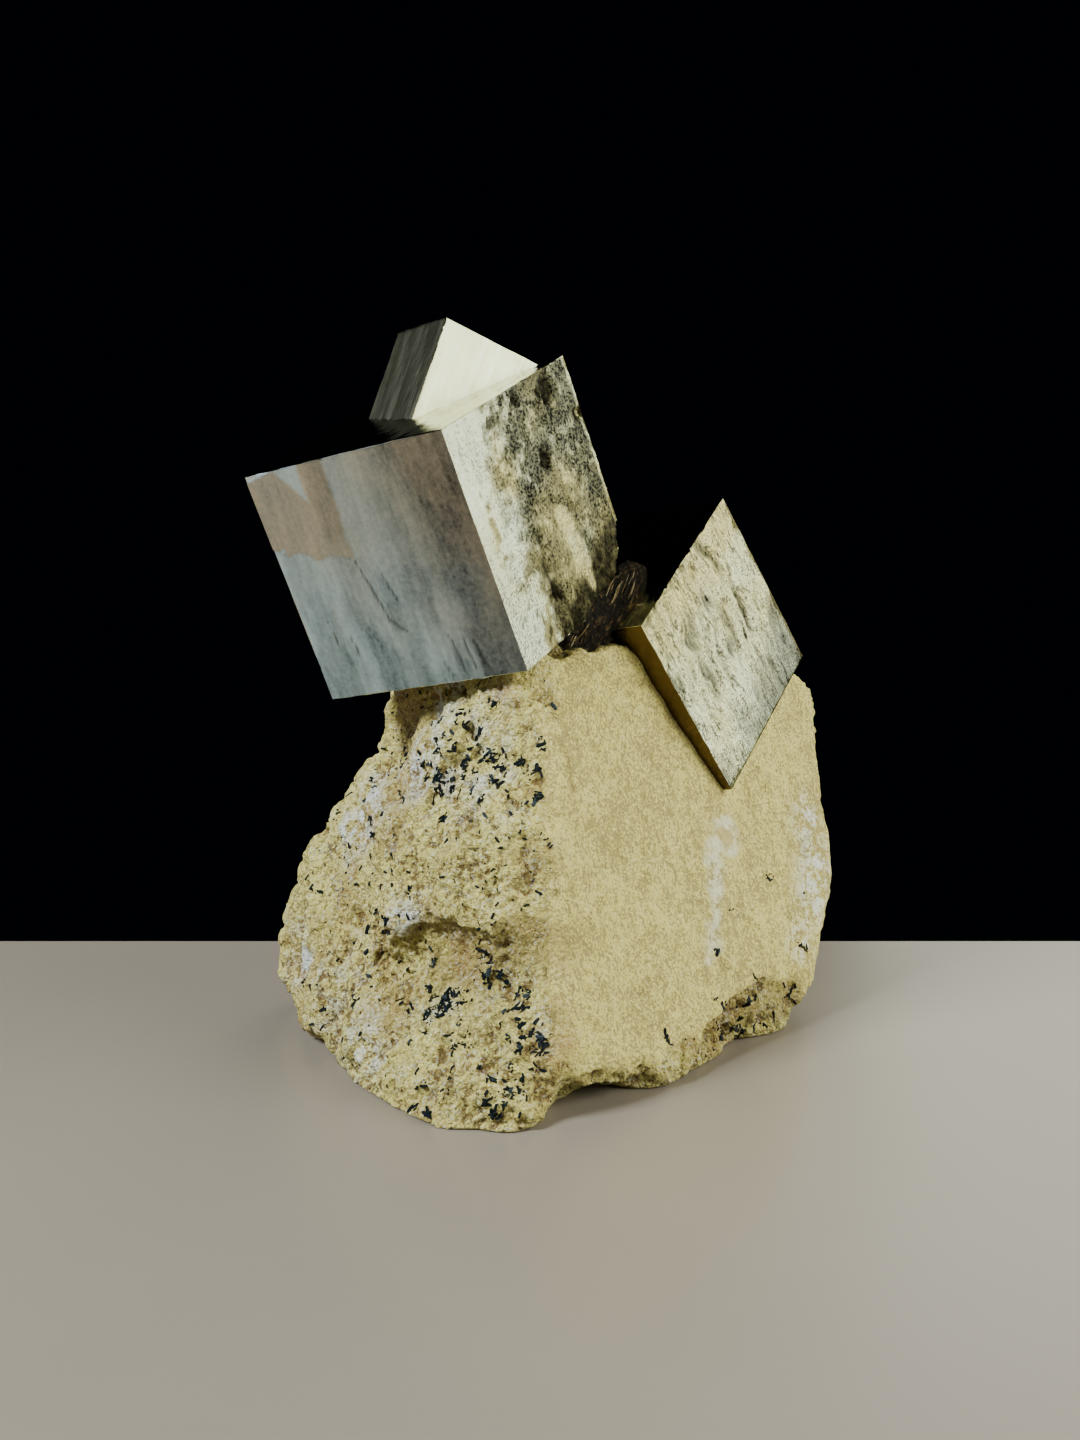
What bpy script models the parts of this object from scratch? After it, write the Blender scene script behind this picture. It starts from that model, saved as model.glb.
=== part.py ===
"""Pyrite cubes on marl: a hand specimen with two large cubes and a small one.

The large cube at the left has a small tilted cube grown into its top face. The cube at
the right stands on a corner in a socket of its own. The rock between and below them is a
wedge whose ridge points along -Y, with one smooth face at its right and rough ones
elsewhere. +Z is up, the rock rests on z = 0, and all sizes are in metres.
"""

import math

import bmesh
import bpy
from mathutils import Euler, Matrix, Vector, noise

# Driving dimensions of the crystals
LARGE_EDGE = 0.0360
SIDE_EDGE = 0.0329
SMALL_EDGE = 0.0168
SOCKET_GAP = 0.0003

# Poses of the crystals: centre, and XYZ rotation in degrees. A cube's local -Y is the face
# towards the ridge, its local +Z the face on top.
LARGE_CENTRE = Vector((-0.0138, -0.0061, 0.0784))
LARGE_TURN = (17.7, -11.2, -32.6)
SMALL_CENTRE = Vector((-0.0134, -0.0021, 0.0973))
SMALL_TURN = (-5.6, 23.5, 26.8)
SIDE_CENTRE = Vector((0.0166, 0.0132, 0.0572))
SIDE_TURN = (-18.6, 55.1, 36.9)

# The point of the foot that becomes the origin
ORIGIN = Vector((0.00264, -0.0031, 0.0))

# Missing corner of the large cube: where its rounded edge runs, in shares of the cube's
# edge from the centre. The first points lie on the right face, the last is the cut's root.
CORNER_CURVE = ((0.05, -0.50), (0.30, -0.44), (0.42, -0.33), (0.51, -0.17))
CORNER_ROOT = Vector((-0.25, 0.50, -0.50))

# Rock: the smooth face, as the way that it faces and one point on it
SMOOTH_AZIMUTH = math.radians(48.1)
SMOOTH_TILT = math.radians(17.1)
SMOOTH_POINT = Vector((0.0126, -0.0092, 0.0598))
SMOOTH_NORMAL = Vector(
    (
        math.sin(SMOOTH_AZIMUTH) * math.cos(SMOOTH_TILT),
        -math.cos(SMOOTH_AZIMUTH) * math.cos(SMOOTH_TILT),
        math.sin(SMOOTH_TILT),
    )
)

# Corners of the smooth face, as x and z: down the ridge, along the foot, up the right rim
SMOOTH_OUTLINE = (
    (0.0007, 0.0603),
    (0.0021, 0.0473),
    (0.0028, 0.0291),
    (0.0027, 0.0057),
    (0.0120, 0.0012),
    (0.0242, 0.0005),
    (0.0379, 0.0010),
    (0.0410, 0.0025),
    (0.0447, 0.0062),
    (0.0458, 0.0117),
    (0.0485, 0.0230),
    (0.0472, 0.0367),
    (0.0456, 0.0498),
    (0.0434, 0.0530),
    (0.0127, 0.0606),
)

# Corners of the rough faces: the foot and its toe, the left rim upwards, the brow of the
# ledge, the top, and the back
ROUGH_CORNERS = (
    (-0.0017, -0.0465, -0.0022),
    (-0.0146, -0.0460, -0.0022),
    (-0.0248, -0.0322, -0.0022),
    (-0.0304, -0.0200, 0.0030),
    (-0.0426, 0.0050, 0.0040),
    (-0.0431, 0.0060, 0.0084),
    (-0.0399, 0.0060, 0.0198),
    (-0.0372, 0.0050, 0.0266),
    (-0.0318, 0.0040, 0.0333),
    (-0.0264, 0.0020, 0.0402),
    (-0.0211, 0.0000, 0.0469),
    (-0.0052, -0.0345, 0.0255),
    (-0.0160, -0.0265, 0.0235),
    (-0.0140, -0.0185, 0.0510),
    (-0.0010, -0.0240, 0.0600),
    (0.0430, 0.0260, 0.0430),
    (0.0380, 0.0320, 0.0200),
    (0.0200, 0.0360, 0.0330),
    (0.0000, 0.0320, 0.0500),
    (-0.0150, 0.0200, 0.0520),
    (-0.0310, 0.0180, 0.0270),
    (-0.0360, 0.0200, -0.0022),
    (-0.0100, 0.0320, -0.0022),
    (0.0220, 0.0340, -0.0022),
    (0.0370, 0.0200, -0.0022),
)

# Corners of the neck, which rises from the body to the bottom of the large cube
NECK_CORNERS = (
    (-0.0254, 0.0020, 0.0462),
    (-0.0250, 0.0010, 0.0600),
    (-0.0210, 0.0110, 0.0620),
    (-0.0150, -0.0130, 0.0590),
    (-0.0020, -0.0225, 0.0630),
    (0.0040, 0.0000, 0.0680),
    (-0.0040, 0.0180, 0.0640),
    (-0.0230, 0.0060, 0.0400),
    (-0.0100, -0.0150, 0.0400),
    (0.0000, 0.0000, 0.0400),
)

# Fibrous rock in the groove between the two large cubes, as centre and radius
SADDLE_LUMPS = (
    (Vector((0.0030, -0.0140, 0.0570)), 0.0050),
    (Vector((0.0070, -0.0085, 0.0605)), 0.0050),
    (Vector((0.0105, -0.0040, 0.0645)), 0.0046),
    (Vector((0.0130, 0.0000, 0.0685)), 0.0042),
    (Vector((0.0142, 0.0035, 0.0712)), 0.0028),
)

# Hollows of the rock: the centre, the radii across, inwards and upwards, and the way that
# the hollow faces, in degrees from -Y towards +X
HOLLOWS = (
    ((0.0020, -0.0475, 0.0120), (0.0050, 0.0040, 0.0065), 10.0),
    ((-0.0190, -0.0190, 0.0500), (0.0075, 0.0050, 0.0040), -35.0),
    ((0.0315, -0.0155, 0.0030), (0.0120, 0.0030, 0.0050), 48.0),
)

# Corners of the hollow below the ledge, deep under its brow and run out at the bottom
LEDGE_CORNERS = (
    (-0.0270, -0.0220, 0.0213),
    (-0.0140, -0.0420, 0.0240),
    (-0.0050, -0.0420, 0.0255),
    (-0.0202, -0.0149, 0.0206),
    (-0.0004, -0.0336, 0.0246),
    (-0.0280, -0.0340, 0.0060),
    (-0.0050, -0.0480, 0.0060),
    (-0.0200, -0.0500, 0.0060),
)

# Corners of the undercut that lifts the smooth slab off the ground beside the toe
UNDERCUT_CORNERS = (
    (-0.0005, -0.0550, -0.0050),
    (-0.0005, -0.0550, 0.0062),
    (0.0060, -0.0500, 0.0055),
    (0.0130, -0.0420, 0.0048),
    (0.0200, -0.0340, 0.0024),
    (0.0270, -0.0290, -0.0050),
    (0.0010, -0.0340, -0.0050),
    (0.0010, -0.0340, 0.0050),
    (0.0160, -0.0210, -0.0050),
)

# Roughness of the rock: height and size of the lumps, from large to small
LUMPS = ((0.0022, 0.0160), (0.0014, 0.0065), (0.0007, 0.0030))
SMOOTH_SHARE = 0.12
SMOOTH_BAND = 0.0016
ROCK_STEP = 0.0017
ROCK_SEED = Vector((3.7, 1.9, 8.2))
ROCK_TRIANGLE_SHARE = 0.42

# Low relief of the crystal faces, in shares of the edge. A growth layer is an outline on a
# face, a pit is a centre, two radii and a turn in degrees.
LAYER_HEIGHT = 0.0004
LARGE_FRONT_LAYER = (
    (-0.48, 0.48),
    (-0.09, 0.48),
    (-0.11, 0.07),
    (-0.22, 0.17),
    (-0.34, 0.13),
    (-0.48, 0.22),
)
LARGE_RIGHT_PITS = (
    (0.28, 0.42, 0.050, 0.040, 0.0),
    (0.05, 0.45, 0.030, 0.028, 0.0),
    (0.12, 0.17, 0.036, 0.036, 0.0),
    (-0.20, 0.34, 0.022, 0.040, 20.0),
    (-0.02, -0.12, 0.050, 0.090, 25.0),
    (0.20, -0.24, 0.045, 0.130, 25.0),
    (-0.12, -0.34, 0.030, 0.040, 0.0),
)
SIDE_FRONT_PITS = (
    (0.05, -0.16, 0.110, 0.030, 0.0),
    (-0.18, -0.22, 0.120, 0.022, 4.0),
    (-0.10, 0.12, 0.140, 0.024, -3.0),
    (0.16, 0.22, 0.120, 0.030, 3.0),
)
SIDE_FRONT_LAYER = ((-0.47, -0.49), (-0.49, 0.10), (-0.45, 0.10), (-0.43, -0.47))
PIT_DEPTH = 0.0009


def remove_everything():
    for item in list(bpy.data.objects):
        bpy.data.objects.remove(item, do_unlink=True)


def material(name, colour, roughness, metallic):
    made = bpy.data.materials.new(name)
    made.use_nodes = True
    shader = made.node_tree.nodes["Principled BSDF"]
    shader.inputs["Base Color"].default_value = (*colour, 1.0)
    shader.inputs["Roughness"].default_value = roughness
    shader.inputs["Metallic"].default_value = metallic
    made.diffuse_color = (*colour, 1.0)
    return made


def add_object(name, shape):
    """A bmesh as a new object of the scene."""
    mesh = bpy.data.meshes.new(name)
    bmesh.ops.recalc_face_normals(shape, faces=shape.faces[:])
    shape.to_mesh(mesh)
    shape.free()
    made = bpy.data.objects.new(name, mesh)
    bpy.context.collection.objects.link(made)
    return made


def as_cutter(item):
    item.hide_render = True
    item.display_type = "WIRE"
    return item


def combine(target, tools, operation, solver="EXACT"):
    """Boolean modifiers on the target, applied in order. The tools are removed."""
    for tool in tools:
        step = target.modifiers.new(tool.name, "BOOLEAN")
        step.operation = operation
        step.solver = solver
        step.object = as_cutter(tool)
        apply_modifiers(target)
        bpy.data.objects.remove(tool, do_unlink=True)


def apply_modifiers(item):
    graph = bpy.context.evaluated_depsgraph_get()
    made = bpy.data.meshes.new_from_object(item.evaluated_get(graph))
    item.modifiers.clear()
    item.data = made


def pose(centre, turn):
    angles = Euler([math.radians(angle) for angle in turn])
    return Matrix.Translation(centre) @ angles.to_matrix().to_4x4()


def cube(name, edge):
    shape = bmesh.new()
    bmesh.ops.create_cube(shape, size=edge)
    return add_object(name, shape)


def hull(name, points):
    """The convex solid around the points."""
    shape = bmesh.new()
    for point in points:
        shape.verts.new(point)
    found = bmesh.ops.convex_hull(shape, input=shape.verts[:])
    inside = [piece for piece in found["geom_interior"] if isinstance(piece, bmesh.types.BMVert)]
    bmesh.ops.delete(shape, geom=inside, context="VERTS")
    return add_object(name, shape)


def ellipsoid(name, centre, radii, detail=2):
    shape = bmesh.new()
    bmesh.ops.create_icosphere(shape, subdivisions=detail, radius=1.0)
    bmesh.ops.transform(shape, matrix=Matrix.Diagonal((*radii, 1.0)), verts=shape.verts[:])
    bmesh.ops.translate(shape, vec=centre, verts=shape.verts[:])
    return add_object(name, shape)


def face_plate(name, edge, face, outline, height):
    """A thin growth layer that stands out of one face of a cube, sunk a little into it."""
    shape = bmesh.new()
    flat = [face @ Vector((x * edge, -edge / 2 - height, z * edge)) for x, z in outline]
    bottom = shape.faces.new([shape.verts.new(point) for point in flat])
    grown = bmesh.ops.extrude_face_region(shape, geom=[bottom])
    moved = [piece for piece in grown["geom"] if isinstance(piece, bmesh.types.BMVert)]
    inwards = (face.to_3x3() @ Vector((0.0, 1.0, 0.0))) * 4 * height
    bmesh.ops.translate(shape, vec=inwards, verts=moved)
    return add_object(name, shape)


def face_pits(name, edge, face, pits):
    """Shallow ellipsoids that cut pits and grooves into one face of a cube."""
    made = []
    for number, (x, z, across, along, turn) in enumerate(pits):
        pit = ellipsoid(f"{name} {number}", Vector(), (across * edge, PIT_DEPTH, along * edge), 2)
        place = Matrix.Translation((x * edge, -edge / 2, z * edge))
        pit.data.transform(face @ place @ Matrix.Rotation(math.radians(turn), 4, "Y"))
        made.append(pit)
    return made


# Turns that bring the local -Y face of a cube to another face
FRONT = Matrix.Identity(4)
RIGHT = Matrix.Rotation(math.pi / 2, 4, "Z")


def large_blank(name, edge):
    """The large cube without its lower back corner, which is cut off along a curve."""
    blank = cube(name, edge)
    shape = bmesh.new()
    shape.from_mesh(blank.data)
    root = CORNER_ROOT * edge
    rim = [Vector((0.5 * edge, y * edge, z * edge)) for y, z in CORNER_CURVE]
    for start, end in zip(rim, rim[1:]):
        outwards = (start - root).cross(end - root)
        if outwards.dot(Vector((1.0, 1.0, -1.0))) < 0:
            outwards.negate()
        cut = bmesh.ops.bisect_plane(
            shape,
            geom=shape.verts[:] + shape.edges[:] + shape.faces[:],
            dist=1e-7,
            plane_co=root,
            plane_no=outwards,
            clear_outer=True,
        )
        edges = [piece for piece in cut["geom_cut"] if isinstance(piece, bmesh.types.BMEdge)]
        bmesh.ops.contextual_create(shape, geom=edges)
    bmesh.ops.recalc_face_normals(shape, faces=shape.faces[:])
    shape.to_mesh(blank.data)
    shape.free()
    return blank


def main_crystals(pyrite):
    """The large cube and the small one in its top face, grown together."""
    large = large_blank("main_crystals", LARGE_EDGE)
    layer = face_plate("front layer", LARGE_EDGE, FRONT, LARGE_FRONT_LAYER, LAYER_HEIGHT)
    combine(large, [layer], "UNION")
    combine(large, face_pits("pit", LARGE_EDGE, RIGHT, LARGE_RIGHT_PITS), "DIFFERENCE")
    large.data.transform(pose(LARGE_CENTRE, LARGE_TURN))
    small = cube("small cube", SMALL_EDGE)
    small.data.transform(pose(SMALL_CENTRE, SMALL_TURN))
    combine(large, [small], "UNION")
    large.data.materials.clear()
    large.data.materials.append(pyrite)
    return large


def side_cube(pyrite):
    """The cube that stands on a corner in the smooth face."""
    side = cube("side_cube", SIDE_EDGE)
    layer = face_plate("edge layer", SIDE_EDGE, FRONT, SIDE_FRONT_LAYER, LAYER_HEIGHT)
    combine(side, [layer], "UNION")
    combine(side, face_pits("groove", SIDE_EDGE, FRONT, SIDE_FRONT_PITS), "DIFFERENCE")
    side.data.transform(pose(SIDE_CENTRE, SIDE_TURN))
    side.data.materials.clear()
    side.data.materials.append(pyrite)
    return side


def smooth_face_corner(x, z):
    """The point of the smooth face with this x and z."""
    rest = Vector((x, 0.0, z)) - SMOOTH_POINT
    y = -(SMOOTH_NORMAL.x * rest.x + SMOOTH_NORMAL.z * rest.z) / SMOOTH_NORMAL.y
    return Vector((x, SMOOTH_POINT.y + y, z))


def roughness_at(point):
    """1 on the rough rock, and a small share of that on the smooth face."""
    off_face = abs((point - SMOOTH_POINT).dot(SMOOTH_NORMAL)) / SMOOTH_BAND
    return SMOOTH_SHARE + (1 - SMOOTH_SHARE) * min(1.0, max(0.0, off_face - 0.5))


def roughen(rock):
    """Moves each point of the rock along its normal by the sum of the lumps."""
    normals = [vertex.normal.copy() for vertex in rock.data.vertices]
    for vertex, normal in zip(rock.data.vertices, normals):
        height = sum(
            lump * noise.noise(vertex.co / size + ROCK_SEED * number)
            for number, (lump, size) in enumerate(LUMPS, 1)
        )
        vertex.co += normal * height * roughness_at(vertex.co)


def keep_largest_body(item):
    """Deletes the crumbs that a cut leaves loose."""
    shape = bmesh.new()
    shape.from_mesh(item.data)
    left = set(shape.verts)
    bodies = []
    while left:
        body = set()
        edge = [left.pop()]
        while edge:
            vertex = edge.pop()
            body.add(vertex)
            for link in vertex.link_edges:
                other = link.other_vert(vertex)
                if other in left:
                    left.remove(other)
                    edge.append(other)
        bodies.append(body)
    bodies.sort(key=len)
    for body in bodies[:-1]:
        bmesh.ops.delete(shape, geom=list(body), context="VERTS")
    shape.to_mesh(item.data)
    shape.free()


def saddle():
    """Overlapping stretches of the saddle, each a hull around two lumps."""
    made = []
    for (start, wide), (end, narrow) in zip(SADDLE_LUMPS, SADDLE_LUMPS[1:]):
        ball = bmesh.new()
        bmesh.ops.create_icosphere(ball, subdivisions=2, radius=1.0)
        points = [start + vertex.co * wide for vertex in ball.verts]
        points += [end + vertex.co * narrow for vertex in ball.verts]
        ball.free()
        made.append(hull("saddle", points))
    return made


def hollows():
    made = []
    for centre, radii, facing in HOLLOWS:
        hollow = ellipsoid("hollow", Vector(), radii, 3)
        turn = Matrix.Rotation(math.radians(facing), 4, "Z")
        hollow.data.transform(Matrix.Translation(centre) @ turn)
        made.append(hollow)
    return made


def marl_matrix(marl):
    """The block of rock, with a socket for each large cube and a flat foot."""
    corners = [smooth_face_corner(x, z) for x, z in SMOOTH_OUTLINE]
    corners += [Vector(corner) for corner in ROUGH_CORNERS]
    rock = hull("marl_matrix", corners)
    combine(rock, [hull("neck", NECK_CORNERS), *saddle()], "UNION")
    cuts = [hull("below the ledge", LEDGE_CORNERS), hull("undercut", UNDERCUT_CORNERS)]
    combine(rock, [*hollows(), *cuts], "DIFFERENCE")
    step = rock.modifiers.new("even faces", "REMESH")
    step.mode = "VOXEL"
    step.voxel_size = ROCK_STEP
    apply_modifiers(rock)
    roughen(rock)
    step = rock.modifiers.new("fewer faces", "DECIMATE")
    step.ratio = ROCK_TRIANGLE_SHARE
    apply_modifiers(rock)
    sockets = [
        large_blank("large socket", LARGE_EDGE + 2 * SOCKET_GAP),
        cube("side socket", SIDE_EDGE + 2 * SOCKET_GAP),
    ]
    sockets[0].data.transform(pose(LARGE_CENTRE, LARGE_TURN))
    sockets[1].data.transform(pose(SIDE_CENTRE, SIDE_TURN))
    ground = cube("ground", 0.3)
    ground.data.transform(Matrix.Translation((0.0, 0.0, -0.15)))
    # The exact solver loses the rock here, since lumps of it may cross each other slightly
    combine(rock, [*sockets, ground], "DIFFERENCE", "MANIFOLD")
    keep_largest_body(rock)
    rock.data.materials.clear()
    rock.data.materials.append(marl)
    return rock


def main():
    remove_everything()
    pyrite = material("pyrite", (0.60, 0.53, 0.36), 0.28, 1.0)
    marl = material("marl", (0.51, 0.40, 0.19), 0.9, 0.0)
    specimen = bpy.data.objects.new("specimen", None)
    specimen.location = -ORIGIN
    bpy.context.collection.objects.link(specimen)
    for piece in (main_crystals(pyrite), side_cube(pyrite), marl_matrix(marl)):
        piece.parent = specimen


main()
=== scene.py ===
"""Looks of a pyrite specimen: two large cubes and a small one on a block of beige marl.

It is laid out as an add-on and run as a script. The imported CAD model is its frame: the large
cube with the small one in its top, the cube at the side, and the marl that holds them. Each
operator dresses one of them with a dense mesh and procedural materials. All sizes are in
metres in the frame's axes: +Z is up, the specimen rests on z = 0, -Y faces the camera.
"""

import itertools
import math

import bmesh
import bpy
import numpy as np
from bpy.props import FloatProperty, FloatVectorProperty, IntProperty, PointerProperty
from mathutils import Euler, Matrix, Vector


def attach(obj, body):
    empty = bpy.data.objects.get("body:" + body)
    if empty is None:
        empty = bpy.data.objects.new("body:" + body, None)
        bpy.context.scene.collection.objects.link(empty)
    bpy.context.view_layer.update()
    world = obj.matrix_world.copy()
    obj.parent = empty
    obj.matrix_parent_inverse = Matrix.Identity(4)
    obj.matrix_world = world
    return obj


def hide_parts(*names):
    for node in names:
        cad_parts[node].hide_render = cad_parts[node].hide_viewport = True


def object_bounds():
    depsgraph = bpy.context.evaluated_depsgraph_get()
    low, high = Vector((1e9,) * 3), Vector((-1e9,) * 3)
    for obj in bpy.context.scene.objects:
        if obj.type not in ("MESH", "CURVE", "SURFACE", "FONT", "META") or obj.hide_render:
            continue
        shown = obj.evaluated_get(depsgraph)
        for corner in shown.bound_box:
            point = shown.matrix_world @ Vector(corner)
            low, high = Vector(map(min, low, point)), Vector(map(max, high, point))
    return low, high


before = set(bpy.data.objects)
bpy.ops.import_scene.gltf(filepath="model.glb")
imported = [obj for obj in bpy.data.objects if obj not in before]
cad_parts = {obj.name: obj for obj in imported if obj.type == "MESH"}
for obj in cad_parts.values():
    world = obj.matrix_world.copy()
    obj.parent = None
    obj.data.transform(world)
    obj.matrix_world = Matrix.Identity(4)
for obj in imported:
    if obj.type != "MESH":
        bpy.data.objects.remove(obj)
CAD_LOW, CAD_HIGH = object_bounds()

bl_info = {
    "name": "Pyrite Cubes on Marl",
    "version": (1, 0, 0),
    "blender": (4, 5, 0),
    "location": "View3D > Sidebar > Pyrite",
    "description": "Builds the looks of a pyrite specimen around its CAD frame",
    "category": "Object",
}

BODY = "root"
MM = 0.001

# Crystals, as the frame holds them: edge, centre, and XYZ rotation in degrees. A cube's own
# -Y is the face towards the camera, its +X the face at the right, its +Z the face on top.
LARGE = (0.0360, Vector((-0.01644, -0.0030, 0.0784)), (17.7, -11.2, -32.6))
SMALL = (0.0168, Vector((-0.01604, 0.0010, 0.0973)), (-5.6, 23.5, 26.8))
SIDE = (0.0329, Vector((0.01396, 0.0163, 0.0572)), (-18.6, 55.1, 36.9))

# Missing corner of the large cube, in shares of its edge from its centre: the curve that it
# leaves on the right face, as y and z, and the root of the break
CORNER_CURVE = ((0.05, -0.50), (0.30, -0.44), (0.42, -0.33), (0.51, -0.17))
CORNER_ROOT = Vector((-0.25, 0.50, -0.50))

# Faces of a cube: the way that each one faces, and the ways in which its u and v grow
FACES = {
    "front": ((0, -1, 0), (1, 0, 0), (0, 0, -1)),
    "right": ((1, 0, 0), (0, 1, 0), (0, 0, -1)),
    "top": ((0, 0, 1), (1, 0, 0), (0, 1, 0)),
    "left": ((-1, 0, 0), (0, 1, 0), (0, 0, -1)),
    "back": ((0, 1, 0), (1, 0, 0), (0, 0, -1)),
    "bottom": ((0, 0, -1), (1, 0, 0), (0, 1, 0)),
}

# Smooth face of the marl: a point on it and the way that it faces
SMOOTH_POINT = Vector((0.00996, -0.0061, 0.0598))
SMOOTH_NORMAL = Vector((0.7114, -0.6383, 0.2940))


def unit(value):
    """The value, held between 0 and 1."""
    return np.clip(value, 0.0, 1.0)


def smooth_step(low, high, value):
    """0 below low, 1 above high, and an eased rise between them."""
    share = unit((value - low) / (high - low))
    return share * share * (3.0 - 2.0 * share)


def cell_values(cells, seed):
    """A repeatable number between -1 and 1 for each cell of whole numbers."""
    hashed = cells[:, 0] * 73856093 ^ cells[:, 1] * 19349663 ^ cells[:, 2] * 83492791
    hashed = (hashed ^ (seed * 2971215073)) * 1274126177
    hashed = (hashed ^ (hashed >> 15)) * 668265263
    return ((hashed ^ (hashed >> 13)) & 0xFFFF) / 32767.5 - 1.0


def soft_noise(points, size, seed):
    """Smooth noise between -1 and 1, with lumps of the given size."""
    cells = points / size + 13.7 * seed
    base = np.floor(cells).astype(np.int64)
    rest = cells - base
    ease = rest**3 * (rest * (rest * 6.0 - 15.0) + 10.0)
    total = np.zeros(len(points))
    for corner in itertools.product((0, 1), repeat=3):
        share = np.prod(np.where(corner, ease, 1.0 - ease), axis=1)
        total += share * cell_values(base + np.array(corner), seed)
    return total


def rough_noise(points, size, seed, layers=4, fade=0.5):
    """Layers of smooth noise, each half the size of the one before, from -1 to 1."""
    weights = fade ** np.arange(layers)
    total = sum(
        weight * soft_noise(points, size / 2.0**layer, seed + layer)
        for layer, weight in enumerate(weights)
    )
    return np.clip(2.0 * total / weights.sum(), -1.0, 1.0)


def off_segment(points, start, end):
    """Distance of points from a straight line, and the share of it at which each is nearest."""
    start, end = np.array(start), np.array(end)
    way = end - start
    place = points - start
    share = unit(place @ way / (way @ way))
    return np.linalg.norm(place - share[:, None] * way, axis=1), share


def groove(u, v, start, end, width):
    """1 along the line from start to end, and 0 beyond the width at its sides."""
    off, share = off_segment(np.stack([u, v], axis=1), start, end)
    taper = 0.35 + 0.65 * np.sin(np.pi * np.clip(share, 0.02, 0.98))
    return np.exp(-((off / (width * taper)) ** 2))


def grooves(u, v, lines):
    """The sum of grooves, each with its start, end and width."""
    return sum(groove(u, v, *line) for line in lines)


def terraces(value, levels, lip):
    """Turns a smooth value between 0 and 1 into flat levels with short ramps."""
    scaled = value * levels
    level = np.floor(scaled)
    return (level + smooth_step(1.0 - lip, 1.0, scaled - level)) / levels


def turned(turn):
    """Three angles in degrees as a rotation matrix."""
    return Euler([math.radians(angle) for angle in turn]).to_matrix()


def pose(centre, turn):
    return Matrix.Translation(centre) @ turned(turn).to_4x4()


def own_place(points, crystal):
    """Points of the frame in a crystal's own axes, as shares of its edge from its centre."""
    edge, centre, turn = crystal
    return (points - np.array(centre)) @ np.array(turned(turn)) / edge


def mesh_rows(mesh, name="co"):
    """The place, or another property with three numbers, of each point of a mesh."""
    flat = np.empty(len(mesh.vertices) * 3)
    mesh.vertices.foreach_get(name, flat)
    return flat.reshape(-1, 3)


def move_points(mesh, points):
    mesh.vertices.foreach_set("co", points.ravel())
    mesh.update()


def write_marks(mesh, marks):
    """Stores one number per point for each mark, for the materials to read."""
    for name, values in marks.items():
        layer = mesh.attributes.new(name, "FLOAT", "POINT")
        layer.data.foreach_set("value", values.astype(np.float32))


def new_object(name, data):
    made = bpy.data.objects.new(name, data)
    bpy.context.scene.collection.objects.link(made)
    return made


def add_piece(name, mesh, materials, slot, *nodes):
    """A mesh as a piece of the specimen, in place of the CAD nodes named."""
    piece = new_object(name, mesh)
    for finish in materials:
        mesh.materials.append(finish)
    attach(piece, BODY)
    if nodes:
        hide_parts(*nodes)


def mixed(*parts):
    """The sum of colours, each multiplied by its share."""
    return [sum(share * colour[band] for share, colour in parts) for band in range(3)]


def evaluated_mesh(item):
    graph = bpy.context.evaluated_depsgraph_get()
    return bpy.data.meshes.new_from_object(item.evaluated_get(graph))


# Sockets of a Mix node for colours, by their places in its lists
MIX_FIRST, MIX_SECOND, MIX_RESULT = 6, 7, 2


class Value:
    """A shader socket that Python's operators work on, each by adding one Math node."""

    def __init__(self, graph, socket):
        self.graph = graph
        self.socket = socket

    def __add__(self, other):
        return self.graph.maths("ADD", self, other)

    __radd__ = __add__

    def __sub__(self, other):
        return self.graph.maths("SUBTRACT", self, other)

    def __rsub__(self, other):
        return self.graph.maths("SUBTRACT", other, self)

    def __mul__(self, other):
        return self.graph.maths("MULTIPLY", self, other)

    __rmul__ = __mul__

    def __pow__(self, other):
        return self.graph.maths("POWER", self, other)


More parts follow.
